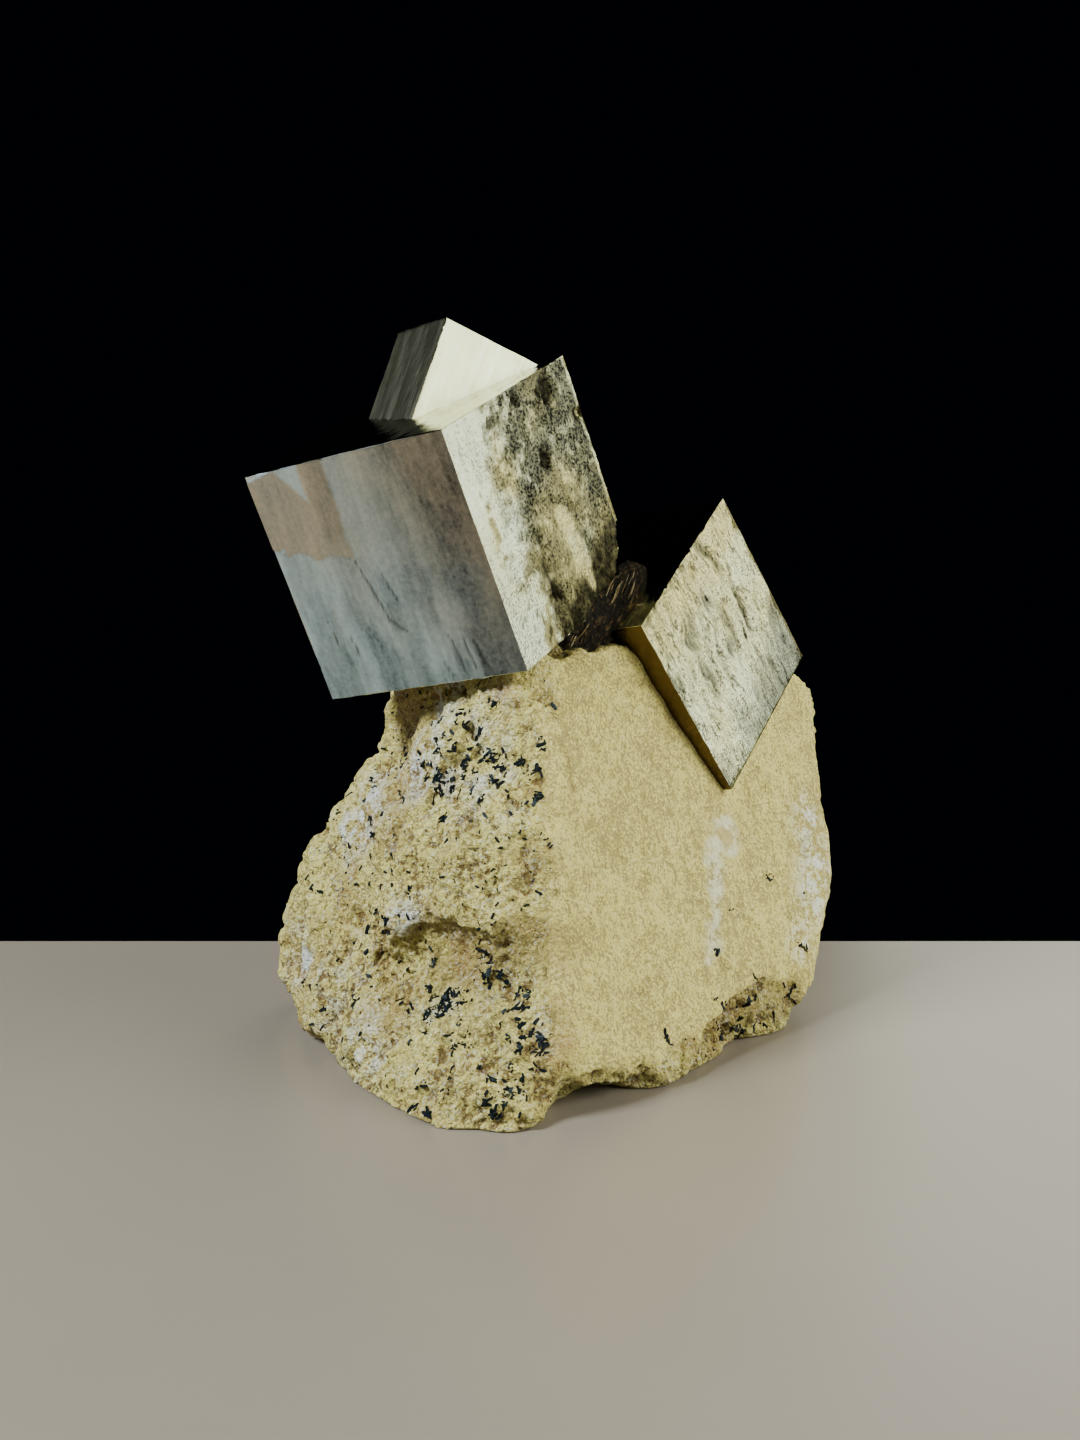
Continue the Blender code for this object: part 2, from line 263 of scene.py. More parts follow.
class Graph:
    """The node tree of one material, and the few steps that the finishes are made of."""

    def __init__(self, name):
        self.material = bpy.data.materials.new(name)
        self.material.use_nodes = True
        self.tree = self.material.node_tree
        self.shader = self.tree.nodes["Principled BSDF"]
        self.place = self.node("ShaderNodeTexCoord", {}, {}, "Object")

    def node(self, kind, settings, sockets, output=0):
        """Adds one node: its settings first, then its sockets' values or links."""
        made = self.tree.nodes.new(kind)
        for name, value in settings.items():
            setattr(made, name, value)
        for name, value in sockets.items():
            self.plug(made.inputs[name], value)
        return Value(self, made.outputs[output])

    def plug(self, socket, value):
        if isinstance(value, Value):
            self.tree.links.new(value.socket, socket)
        elif socket.type == "RGBA" and len(value) == 3:
            socket.default_value = (*value, 1.0)
        else:
            socket.default_value = value

    def maths(self, operation, *values, clamp=False):
        settings = {"operation": operation, "use_clamp": clamp}
        return self.node("ShaderNodeMath", settings, dict(enumerate(values)))

    def clamp(self, value):
        return self.maths("ADD", value, 0.0, clamp=True)

    def rise(self, value, low, high):
        """0 below low, 1 above high, eased between them."""
        settings = {"interpolation_type": "SMOOTHSTEP"}
        sockets = {"Value": value, "From Min": low, "From Max": high}
        return self.node("ShaderNodeMapRange", settings, sockets)

    def mark(self, name):
        """The number that write_marks stored on the mesh under this name."""
        return self.node("ShaderNodeAttribute", {"attribute_name": name}, {}, "Fac")

    def blend(self, share, first, second):
        """One colour over another, by a share between 0 and 1."""
        sockets = {0: share, MIX_FIRST: first, MIX_SECOND: second}
        return self.node("ShaderNodeMix", {"data_type": "RGBA"}, sockets, MIX_RESULT)

    def vector(self, operation, sockets, output=0):
        return self.node("ShaderNodeVectorMath", {"operation": operation}, sockets, output)

    def dim(self, colour, share):
        """A colour or a direction, multiplied by one number."""
        return self.vector("SCALE", {0: colour, "Scale": share})

    def noise(self, size, detail=3.0, roughness=0.5, distortion=0.0, place=None):
        """Noise around 0.5 whose lumps are about as wide as size, in metres."""
        sockets = {
            "Vector": place or self.place,
            "Scale": 1.0 / size,
            "Detail": detail,
            "Roughness": roughness,
            "Distortion": distortion,
        }
        return self.node("ShaderNodeTexNoise", {}, sockets)

    def cells(self, size):
        """Distance from the middle of the nearest grain, for grains about as wide as size."""
        sockets = {"Vector": self.place, "Scale": 1.0 / size}
        return self.node("ShaderNodeTexVoronoi", {}, sockets)

    def streaks(self, along, stretch):
        """The place, pressed along one direction so that noise on it runs into streaks."""
        step = self.vector("DOT_PRODUCT", {0: self.place, 1: along}, "Value")
        pressed = self.dim(along, step * (1.0 / stretch - 1.0))
        return self.vector("ADD", {0: self.place, 1: pressed})

    def bump(self, height, distance):
        """Bends the shader's normal by a height between 0 and 1, in metres of distance."""
        sockets = {"Height": height, "Distance": distance, "Strength": 1.0}
        self.plug(self.shader.inputs["Normal"], self.node("ShaderNodeBump", {}, sockets))

    def finish(self, **inputs):
        """Sets the shader's sockets, named in lower case with underscores."""
        for name, value in inputs.items():
            socket = name.replace("_", " ").title().replace("Ior", "IOR")
            self.plug(self.shader.inputs[socket], value)
        return self.material


def tint(name, description, default):
    """A colour that the user can change."""
    return FloatVectorProperty(
        name=name, description=description, subtype="COLOR", min=0.0, max=1.0, default=default
    )


def span(name, description, low, default):
    """A length in metres that the user can change."""
    return FloatProperty(
        name=name,
        description=description,
        subtype="DISTANCE",
        unit="LENGTH",
        min=low,
        default=default,
    )


def watts(name, description, default):
    """The power of a light that the user can change."""
    return FloatProperty(
        name=name, description=description, subtype="POWER", unit="POWER", min=0.0, default=default
    )


class PyriteLook(bpy.types.PropertyGroup):
    """Colours and relief of the crystals."""

    silver: tint("Silver", "Clean face in its palest tone", (0.84, 0.88, 0.68))
    brass: tint("Brass", "Clean face in its yellowest tone", (0.66, 0.58, 0.27))
    steel: tint("Steel", "Blue-grey film on the front of the large cube", (0.59, 0.81, 0.90))
    brown_film: tint(
        "Brown film",
        "Thin brown film on the plateau and at the right of the large front face",
        (0.62, 0.57, 0.44),
    )
    # This brown is a painted reflection of the marl, put into the side cube's bottom face beside
    # the socket
    mirrored_marl: tint(
        "Amber",
        "Brown that the light finds on the side cube's face beside the socket",
        (0.42, 0.29, 0.13),
    )
    # This dark colour is grime in the pits and also painted shade: in hollows and creases and over
    # the lower right of the large cube's right face
    grime_and_shade: tint("Grime", "Dark deposit in pits and hollows", (0.012, 0.010, 0.006))
    step: span("Mesh step", "Distance between the points of a crystal's faces", 0.0002, 0.00033)
    chip: span("Edge wear", "How far the edges of the cubes are worn back", 0.0, 0.00006)


class MarlLook(bpy.types.PropertyGroup):
    """Colours and relief of the rock."""

    cream: tint("Cream", "Pale, freshly broken marl", (0.68, 0.60, 0.18))
    beige: tint("Beige", "Common tone of the marl", (0.38, 0.315, 0.115))
    # Umber is brown rock and also painted shade: in hollows, below the ledge, under the large cube
    # and in the undercut
    umber_and_shade: tint("Umber", "Brown in hollows and below the ledge", (0.17, 0.105, 0.035))
    rust: tint("Rust", "Orange-brown stain from weathered pyrite", (0.33, 0.20, 0.06))
    # This bluish white is the veins' own colour and also painted highlight: on the rims and as fine
    # glints
    chalk_and_highlight: tint(
        "Chalk",
        "Bluish white patches at the left rim, and the veins of the smooth face",
        (0.70, 0.74, 0.71),
    )
    fleck: tint("Fleck", "Blue-black flecks of ore in the marl", (0.004, 0.007, 0.009))
    step: span("Mesh step", "Distance between the points of the rock's surface", 0.0005, 0.00056)
    scattered: IntProperty(
        name="Scattered flecks",
        description="Number of flecks outside the clusters",
        min=0,
        default=560,
    )


class StageLook(bpy.types.PropertyGroup):
    """Floor, lights and camera."""

    floor: tint("Floor", "Pale floor that the specimen stands on", (0.195, 0.168, 0.136))
    key_power: watts("Key light", "Power of the soft light at the right", 2.4)
    card_power: watts("Card", "Power of the large dim card that the crystals mirror", 3.7)
    fill_power: watts("Fill light", "Power of the cool soft light at the upper left", 8.8)
    rim_power: watts("Rim light", "Power of the soft light behind the specimen", 1.5)
    lens: FloatProperty(
        name="Lens",
        description="Focal length on a sensor 36 mm high",
        subtype="DISTANCE_CAMERA",
        unit="CAMERA",
        default=45.0,
    )


# Crystals


def pits_at(u, v, places):
    """Round pits: each has a centre in u and v, a radius and a strength."""
    total = np.zeros(len(u))
    for centre_u, centre_v, radius, strength in places:
        off = np.hypot(u - centre_u, v - centre_v) / radius
        total += strength * np.exp(-(off**4))
    return unit(total)


def face_noise(u, v, size, seed, layers, fade=0.5, away=0.0):
    """Rough noise over a face, read at a height away from it."""
    return rough_noise(np.stack([u, v, 0.0 * u + away], axis=1), size, seed, layers, fade)


# Short grooves of the large front face: start, end and width
FRONT_CUTS = (
    ((0.385, 0.43), (0.445, 0.70), 0.0065),
    ((0.440, 0.69), (0.505, 0.755), 0.0065),
    ((0.480, 0.50), (0.520, 0.640), 0.0055),
    ((0.690, 0.80), (0.715, 0.99), 0.0085),
    ((0.745, 0.80), (0.765, 0.96), 0.0070),
    ((0.800, 0.83), (0.835, 0.99), 0.0085),
    ((0.620, 0.90), (0.650, 0.99), 0.0040),
    ((0.330, 0.70), (0.365, 0.84), 0.0030),
    ((0.215, 0.72), (0.240, 0.86), 0.0030),
    ((0.140, 0.66), (0.150, 0.80), 0.0030),
)


def large_front(u, v):
    """Steel-grey face: a brown plateau at the upper left, long scales and short grooves."""
    wander = face_noise(u, v, 0.25, 11, 3)
    jag = face_noise(u, v, 0.06, 12, 3)
    right_of = 0.405 - 0.035 * v + 0.005 * jag
    below = 0.345 + 0.20 * u + 0.028 * jag
    plateau = smooth_step(0.0, 0.010, right_of - u) * smooth_step(0.0, 0.014, below - v)
    wedge = smooth_step(0.0, 0.012, 0.280 + 0.004 * jag - u)
    wedge = wedge * smooth_step(0.0, 0.014, 0.010 + 1.30 * (u - 0.150) - v)
    chip = smooth_step(0.0, 0.010, 0.040 - 0.19 * u - v)
    bent_u = u + 0.03 * wander
    scales = 0.5 + 0.45 * face_noise(bent_u, 0.20 * v, 0.085, 13, 3)
    scales = terraces(scales, 6, 0.12)
    fine = face_noise(bent_u, 0.05 * v, 0.020, 14, 2)
    cuts = unit(grooves(u + 0.004 * jag, v, FRONT_CUTS))
    low = smooth_step(0.25, 0.75, v)
    depth = 0.12 * (1.0 - plateau) + 0.05 * plateau * wedge + 0.14 * chip + 0.14 * cuts
    depth += (1.0 - plateau) * (0.06 + 0.20 * low) * scales + 0.010 * (fine + 1.0)
    warmth = np.where(plateau > 0.5, 0.95, 0.55 - 0.80 * v + 0.75 * u * u + 0.15 * wander)
    warmth = warmth * (1.0 - 0.7 * wedge) * (1.0 - chip)
    strip = plateau * smooth_step(0.28, 0.30, u) * smooth_step(0.38, 0.30, v)
    gleam = 0.45 + 0.12 * wedge * plateau + 0.45 * chip - 0.20 * strip
    gleam += (1.0 - plateau) * (0.50 * (scales - 0.5) * (0.15 + low) + 0.05 * fine)
    gleam -= 0.42 * smooth_step(0.42, 0.95, u - 0.1 * wander)
    return depth, warmth, cuts, gleam


# Pits of the large right face: centre in u and v, radius and strength
RIGHT_PITS = (
    (0.775, 0.080, 0.046, 1.0),
    (0.540, 0.055, 0.026, 0.7),
    (0.620, 0.330, 0.034, 1.0),
    (0.335, 0.085, 0.026, 0.7),
    (0.970, 0.250, 0.030, 1.0),
    (0.700, 0.200, 0.022, 0.4),
    (0.380, 0.810, 0.022, 0.9),
    (0.360, 0.770, 0.014, 0.8),
    (0.420, 0.840, 0.014, 0.8),
)
# Its tiny pits at the lower left: their number, and the ranges of centre, radius and strength
SPECKS = 26
SPECK_RANGES = ((0.03, 0.27), (0.78, 1.00), (0.006, 0.012), (0.5, 1.0))
# Upper end of the painted shade along the face's foot, as u and v
SHADE_U = (0.22, 0.37, 0.52, 0.70, 1.00)
SHADE_V = (1.02, 0.90, 0.86, 0.80, 0.66)


def large_right(u, v):
    """Rough face: worn smooth along the front edge, crumbly in the middle, with deep pits."""
    wander = face_noise(u, v, 0.22, 21, 3)
    lumps = face_noise(u, v, 0.12, 22, 3, 0.6)
    grit = face_noise(u, v, 0.045, 23, 3, 0.7)
    fine = face_noise(u, v, 0.020, 24, 2)
    streak = face_noise(u, 0.25 * v, 0.07, 25, 3)
    rough = smooth_step(0.10, 0.44, u + 0.10 * wander + 0.08 * grit)
    foot = smooth_step(0.70, 0.84, v + 0.05 * wander) * smooth_step(0.36, 0.26, u + 0.04 * wander)
    rough = rough * (1.0 - 0.9 * foot)
    pits = pits_at(u + 0.016 * grit, v + 0.020 * lumps, RIGHT_PITS)
    gully = groove(u + 0.03 * wander, v, (0.400, 0.58), (0.350, 0.97), 0.050)
    gully *= 0.65 + 0.5 * lumps
    trough = groove(u + 0.02 * lumps, v, (0.600, 0.54), (0.665, 0.90), 0.045)
    ridge = groove(u, v, (0.345, 0.030), (0.295, 0.170), 0.012)
    # Painted shade: the face's lower right is darkened, except in the bright trough
    shade = smooth_step(-0.03, 0.05, v - np.interp(u, SHADE_U, SHADE_V) + 0.03 * lumps)
    shade = shade * (1.0 - unit(1.5 * trough))
    dice = np.random.default_rng(26)
    specks = np.column_stack([dice.uniform(low, high, SPECKS) for low, high in SPECK_RANGES])
    fine_pits = pits_at(u, v, specks)
    halo = pits_at(u, v, [(*place[:2], place[2] * 2.2, place[3] * 0.35) for place in RIGHT_PITS])
    # Painted highlight: a thin bright line along the upper part of the right edge
    rim = smooth_step(0.970, 0.985, u) * smooth_step(0.80, 0.70, v)
    depth = 0.36 + rough * (0.15 * lumps + 0.10 * grit + 0.06 * fine)
    depth += 0.05 * (1.0 - rough) * streak
    depth += 0.75 * pits + 0.30 * gully + 0.16 * trough - 0.16 * ridge + 0.14 * fine_pits
    blotch = smooth_step(0.03, 0.16, u) * smooth_step(0.10, 0.70, streak + 0.4 * grit)
    low_grain = smooth_step(0.35, 0.6, v) * smooth_step(0.1, 0.7, fine)
    # Dark mark: the pits, their halos and the gully, and the painted shade over the lower right
    grime_and_shade = pits + halo + 0.85 * gully + 0.9 * fine_pits + 0.80 * shade
    grime_and_shade += rough * (0.16 * smooth_step(0.1, 0.8, grit) + 0.30 * low_grain)
    grime_and_shade += (1.0 - rough) * 0.45 * blotch
    gleam = (1.0 - rough) * (0.98 + 0.30 * streak - 0.45 * blotch)
    # Painted highlights: a bright streak in the trough, a lighter ridge and the thin bright line at
    # the right edge
    gleam += trough * (1.1 + 0.7 * grit) + 0.7 * ridge + 0.6 * rim
    gleam += rough * (0.22 + 0.12 * (lumps + wander) + 0.30 * smooth_step(0.1, 0.8, -grit))
    warmth = 0.85 + 0.35 * wander + 0.3 * shade - (1.0 - rough) * (0.8 - blotch)
    return depth, warmth, grime_and_shade * (1.0 - rim), gleam


# Deeper hollows of the side cube's pale face: start, end and width
SIDE_HOLLOWS = (
    ((0.34, 0.600), (0.60, 0.665), 0.024),
    ((0.46, 0.560), (0.70, 0.600), 0.016),
    ((0.03, 0.540), (0.24, 0.560), 0.014),
    ((0.30, 0.245), (0.52, 0.275), 0.018),
    ((0.55, 0.330), (0.78, 0.395), 0.012),
    ((0.52, 0.820), (0.74, 0.860), 0.012),
)


def side_front(u, v):
    """Pale face of the side cube: wavy hollows that run along u, calm at its right corner."""
    wander = face_noise(u, v, 0.25, 31, 3)
    bent_v = v + 0.06 * wander
    waves = face_noise(0.32 * u, bent_v, 0.095, 32, 3, 0.6)
    ripples = face_noise(0.22 * u, bent_v, 0.030, 33, 2)
    grit = face_noise(u, v, 0.035, 34, 3)
    calm = smooth_step(0.45, 0.85, u - 0.45 * v)
    hollows = grooves(u, v + 0.025 * wander, SIDE_HOLLOWS)
    lip = smooth_step(0.0, 0.006, u - 0.022) + smooth_step(0.0, 0.01, 0.60 - v)
    depth = 0.48 + (1.0 - 0.85 * calm) * (0.30 * waves + 0.13 * ripples + 0.05 * grit)
    depth += 0.34 * np.clip(hollows, 0.0, 1.2) - 0.22 * (1.0 - unit(lip))
    creases = smooth_step(0.25, 0.75, waves * 0.5 + ripples * 0.7) * (1.0 - 0.8 * calm)
    # Painted shade: the hollows and creases darkened
    grime_and_shade = 0.58 * hollows * (0.6 + 0.6 * unit(grit)) + 0.34 * creases
    warmth = 0.80 - 0.50 * u + 0.30 * wander + 0.15 * v
    # The gleam falls towards the calm right corner, so the face is darker there
    gleam = 0.76 - (0.50 * waves + 0.34 * ripples) * (1.0 - 0.8 * calm) - 0.58 * calm + 0.12 * v
    return depth, warmth, grime_and_shade, gleam


def bright_mirror(u, v):
    """Nearly flat face with faint angular growth lines."""
    hills = terraces(0.5 + 0.45 * face_noise(u, v, 0.40, 41, 2), 4, 0.05)
    grit = face_noise(u, v, 0.08, 42, 3)
    depth = 0.08 + 0.035 * hills + 0.004 * grit
    return depth, 0.20 + 0.2 * grit, 0.0 * u, 0.92 + 0.1 * grit


def striated(u, v):
    """Dark mirror with fine steps that run along v, as all the faces turned away have."""
    wander = face_noise(u, v, 0.30, 51, 3)
    bend = 0.02 * wander
    lines = face_noise(u + bend, 0.06 * (v + bend), 0.06, 52, 4, 0.6, bend)
    patches = face_noise(u + bend, 0.4 * (v + bend), 0.25, 53, 3, away=bend)
    patches = terraces(0.5 + 0.45 * patches, 5, 0.08)
    depth = 0.10 + 0.05 * (lines + 1.0) + 0.12 * patches
    grime_and_shade = 0.7 * smooth_step(0.10, 0.80, lines * 0.7 + 0.4 * wander)
    return depth, 0.4 + 0.3 * wander, grime_and_shade, 0.5 + 0.4 * lines - 0.3 * wander


# Marks of the crystals that the materials read, in the order in which a relief gives them
MARKS = ("warmth", "grime_and_shade", "gleam")
# Size of the small breaks along a crystal's edges
EDGE_BREAKS = 0.0035


def crystal_mesh(name, edge, step, wear, reliefs):
    """A closed cube as an even grid whose faces are sunk by their reliefs.

    Each relief takes u and v and gives a depth in millimetres and then the marks. The faces
    keep the order of FACES as their material numbers.
    """
    steps = round(edge / step)
    share = np.linspace(0.0, 1.0, steps + 1)
    u, v = (side.ravel() for side in np.meshgrid(share, share, indexing="ij"))
    grid = np.arange((steps + 1) ** 2).reshape(steps + 1, steps + 1)
    ring = (grid[:-1, :-1], grid[1:, :-1], grid[1:, 1:], grid[:-1, 1:])
    quad = np.stack([side.ravel() for side in ring], axis=1)
    corners, quads = [], []
    for number, (way, along, down) in enumerate(FACES.values()):
        flips = np.dot(np.cross(along, down), way) < 0
        corners.append(0.5 * np.array(way) + np.outer(u - 0.5, along) + np.outer(v - 0.5, down))
        quads.append((quad[:, ::-1] if flips else quad) + number * grid.size)
    keys = np.rint((np.concatenate(corners) + 0.5) * steps).astype(int)
    places, merged = np.unique(keys, axis=0, return_inverse=True)
    points = places / steps - 0.5
    sunk = np.zeros_like(points)
    marks = {mark: np.zeros(len(points)) for mark in MARKS}
    rim = np.sort(0.5 - np.abs(points), axis=1)[:, 1] * edge
    worn = rough_noise(points * edge, EDGE_BREAKS, 5, 3)
    for side, (way, along, down) in FACES.items():
        on = points @ np.array(way) > 0.5 - 1e-9
        here = points[on]
        depth, *made = reliefs[side](here @ np.array(along) + 0.5, here @ np.array(down) + 0.5)
        blunt = unit(1.0 - rim[on] / (5.0 * wear)) ** 2
        depth = np.maximum(depth, 0.0) * MM + wear * blunt * (1.0 + 1.5 * unit(worn[on] - 0.3))
        sunk[on] += depth[:, None] * np.array(way)
        for values, found in zip(marks.values(), made):
            values[on] = np.maximum(values[on], unit(found))
    mesh = bpy.data.meshes.new(name)
    mesh.from_pydata(points * edge - sunk, [], merged.reshape(-1)[np.concatenate(quads)])
    mesh.polygons.foreach_set("material_index", np.repeat(np.arange(6), len(quad)))
    write_marks(mesh, marks)
    return mesh


def break_corner(mesh, edge):
    """Cuts the large cube's missing corner off its mesh, along the planes of the curve."""
    shape = bmesh.new()
    shape.from_mesh(mesh)
    root = CORNER_ROOT * edge
    rim = [Vector((0.5 * edge, y * edge, z * edge)) for y, z in CORNER_CURVE]
    for start, end in zip(rim, rim[1:]):
        outwards = (start - root).cross(end - root)
        if outwards.dot(Vector((1.0, 1.0, -1.0))) < 0:
            outwards.negate()
        cut = bmesh.ops.bisect_plane(
            shape,
            geom=shape.verts[:] + shape.edges[:] + shape.faces[:],
            dist=1e-7,
            plane_co=root,
            plane_no=outwards,
            clear_outer=True,
        )
        edges = [piece for piece in cut["geom_cut"] if isinstance(piece, bmesh.types.BMEdge)]
        made = bmesh.ops.contextual_create(shape, geom=edges)
        for face in made["faces"]:
            face.material_index = list(FACES).index("bottom")
    bmesh.ops.recalc_face_normals(shape, faces=shape.faces[:])
    shape.to_mesh(mesh)
    shape.free()


def face_way(crystal, side, which):
    """The direction, in the frame, of a face's own u (1) or v (2)."""
    return tuple(turned(crystal[2]) @ Vector(FACES[side][which]))


# Light of a crystal's brightest points, as a share of its clean colour
BRIGHTEST = 1.18
# Height of the finest lines on a clean face, and on the brightest one
MIRROR_RELIEF = 0.00003
BRIGHT_RELIEF = 0.000004


def steel_finish(look, along):
    """Front of the large cube: grey film with a satin gleam, brown on the plateau."""
    graph = Graph("steel grey pyrite")
    lines = graph.noise(0.0007, 3.0, 0.6, place=graph.streaks(along, 12.0))
    cloud = graph.noise(0.004, 5.0, 0.62, place=graph.streaks(along, 2.0))
    speck = graph.noise(0.0007, 3.0, 0.7)
    gleam = graph.mark("gleam")
    warm = graph.clamp(graph.mark("warmth") + (cloud - 0.5) * 0.7 + (speck - 0.5) * 0.4)
    colour = graph.blend(warm, look.steel, look.brown_film)
    light = 0.40 + gleam * 1.2 + (speck - 0.5) * 0.7 + (lines - 0.5) * 0.4
    colour = graph.dim(colour, light + (cloud - 0.5) * 1.1)
    colour = graph.blend(graph.mark("grime_and_shade") * 0.7, colour, look.grime_and_shade)
    graph.bump(lines * 0.6 + speck * 0.4, 0.00005)
    rough = 0.34 + (cloud - 0.5) * 0.30 + (speck - 0.5) * 0.15
    return graph.finish(base_color=colour, roughness=rough, metallic=1.0)


def crumbly_finish(look, along):
    """Right face of the large cube: silvery where it is worn, olive and pitted elsewhere."""
    graph = Graph("pitted pyrite")
    lines = graph.noise(0.0009, 4.0, 0.6, place=graph.streaks(along, 5.0))
    cloud = graph.noise(0.004, 5.0, 0.62)
    grit = graph.noise(0.00042, 3.0, 0.6)
    gleam = graph.clamp(graph.mark("gleam") + (cloud - 0.5) * 0.5 + (grit - 0.5) * 0.5)
    colour = graph.blend(graph.mark("warmth"), look.silver, look.brass)
    light = 0.06 + gleam**1.3 * 1.25 + (grit - 0.5) * 1.6 + (lines - 0.5) * gleam * 1.6
    colour = graph.dim(colour, graph.clamp(light) * BRIGHTEST)
    # Painted shade: grains darkened where the grit noise is high, away from the gleam
    hollow_shade = graph.rise(grit + (cloud - 0.5) * 0.3, 0.53, 0.68) * (1.0 - gleam) * 0.5
    colour = graph.blend(hollow_shade, colour, mixed((3.0, look.grime_and_shade)))
    dark = graph.clamp(graph.mark("grime_and_shade") * 0.9)
    colour = graph.blend(dark, colour, look.grime_and_shade)
    graph.bump(grit * 0.7 + lines * 0.3, 0.00050)
    rough = graph.clamp(0.46 - gleam * 0.32 + dark * 0.3 + (grit - 0.5) * 0.3)
    return graph.finish(base_color=colour, roughness=rough, metallic=1.0)


def wavy_finish(look, along):
    """Front of the side cube: pale gold, with fine wavy lines."""
    graph = Graph("pale gold pyrite")
    lines = graph.noise(0.0007, 4.0, 0.65, 0.5, graph.streaks(along, 4.0))
    cloud = graph.noise(0.004, 4.0, 0.6)
    grit = graph.noise(0.0004, 3.0, 0.65)
    gleam = graph.clamp(graph.mark("gleam") + (cloud - 0.5) * 0.6)
    warm = graph.clamp(graph.mark("warmth") + (cloud - 0.5) * 0.6)
    colour = graph.blend(warm, look.silver, look.brass)
    light = graph.clamp(0.14 + gleam * 0.95 + (grit - 0.5) * 0.9 + (lines - 0.5) * 1.9)
    colour = graph.dim(colour, light * BRIGHTEST)
    dark = graph.rise(lines + (grit - 0.5) * 0.5, 0.53, 0.64) * 0.80
    colour = graph.blend(graph.clamp(graph.mark("grime_and_shade") * 0.8 + dark), colour, look.grime_and_shade)
    graph.bump(lines * 0.6 + grit * 0.4, 0.00060)
    rough = 0.26 - gleam * 0.08 + (grit - 0.5) * 0.2
    return graph.finish(base_color=colour, roughness=rough, metallic=1.0)


def mirror_finish(
    look, name, along, roughness, light=1.0, dark_reflection=0.0, film=0.0, relief=MIRROR_RELIEF
):
    """Clean faces: bright where they are smooth, with fine dark lines along one direction.

    Light dims the whole face, the next share paints a dark reflection into it where its gleam is
    low, and film mixes in a painted brown reflection of the marl.
    """
    graph = Graph(name)
    lines = graph.noise(0.0008, 4.0, 0.65, place=graph.streaks(along, 30.0))
    cloud = graph.noise(0.005, 4.0, 0.6)
    gleam = graph.mark("gleam")
    tone = graph.clamp(graph.mark("warmth") + (cloud - 0.5) * 0.6)
    pale = mixed((1.0 - film, look.silver), (film, look.mirrored_marl))
    deep = mixed((1.0 - film, look.brass), (film, look.mirrored_marl))
    colour = graph.dim(graph.blend(tone, pale, deep), (1.0 - (1.0 - gleam) * dark_reflection) * light)
    dark = graph.clamp(graph.mark("grime_and_shade") * 0.7 + (cloud - 0.62) * 1.5)
    colour = graph.blend(dark, colour, look.grime_and_shade)
    graph.bump(lines, relief)
    rough = roughness + (cloud - 0.5) * 0.12 + (1.0 - gleam) * 0.08
    return graph.finish(base_color=colour, roughness=graph.clamp(rough), metallic=1.0)


def mirror_sides(look, cube, crystal, faces):
    """Clean finishes of a cube, from its faces' names, ways of their lines and looks."""
    return [
        mirror_finish(look, f"{side} of the {cube}", face_way(crystal, side, which), *finish)
        for side, which, *finish in faces
    ]


# Clean faces of the cubes: name, own way that the lines follow, and the numbers that
# mirror_finish takes from its roughness on. The small cube's left face stands for five.
SMALL_MIRRORS = (
    ("front", 2, 0.20, 1.15, 0.0, 0.0, BRIGHT_RELIEF),
    # The small cube's other faces are painted nearly black, a painted dark reflection with lighter
    # streaks
    ("left", 2, 0.40, 0.8, 0.95),
)
LARGE_MIRRORS = (("top", 1, 0.10, 0.8), ("left", 2, 0.22), ("back", 2, 0.22), ("bottom", 1, 0.25))
SIDE_MIRRORS = (
    ("right", 2, 0.25),
    ("top", 1, 0.22),
    ("left", 2, 0.08),
    ("back", 2, 0.22),
    # The bottom face beside the socket: dimmed, with the painted brown reflection of the marl in
    # full
    ("bottom", 1, 0.16, 0.26, 0.0, 1.0),
)
# Least angle between two faces of a mesh whose edge is shaded as a sharp one
SHARP_EDGE = math.radians(38.0)


def shade_smooth(mesh):
    mesh.polygons.foreach_set("use_smooth", np.ones(len(mesh.polygons), bool))


class PYRITE_OT_large_crystals(bpy.types.Operator):
    """Dresses the large cube and the small one that has grown into its top"""

    bl_idname = "pyrite.large_crystals"
    bl_label = "Large cube and small cube"

    def execute(self, context):
        look = context.scene.pyrite_look
        plain = dict.fromkeys(FACES, striated)
        reliefs = {**plain, "front": large_front, "right": large_right}
        large = crystal_mesh("large_cube", LARGE[0], look.step, look.chip, reliefs)
        break_corner(large, LARGE[0])
        large.transform(pose(*LARGE[1:]))
        reliefs = {**plain, "front": bright_mirror, "top": bright_mirror}
        small = crystal_mesh("small_cube", SMALL[0], look.step, look.chip * 0.5, reliefs)
        small.transform(pose(*SMALL[1:]))
        large_sides = [
            steel_finish(look, face_way(LARGE, "front", 2)),
            crumbly_finish(look, face_way(LARGE, "right", 2)),
            *mirror_sides(look, "large cube", LARGE, LARGE_MIRRORS),
        ]
        bright, dark = mirror_sides(look, "small cube", SMALL, SMALL_MIRRORS)
        for mesh, finishes in ((large, large_sides), (small, [bright] + [dark] * 5)):
            for finish in finishes:
                mesh.materials.append(finish)
        cubes = new_object("large", large), new_object("small", small)
        union = cubes[0].modifiers.new("grown together", "BOOLEAN")
        union.operation = "UNION"
        union.material_mode = "TRANSFER"
        union.object = cubes[1]
        mesh = evaluated_mesh(cubes[0])
        for cube in cubes:
            bpy.data.objects.remove(cube, do_unlink=True)
        shade_smooth(mesh)
        mesh.set_sharp_from_angle(angle=SHARP_EDGE)
        add_piece("main_crystals_grown", mesh, [], "pyrite", "main_crystals")
        return {"FINISHED"}


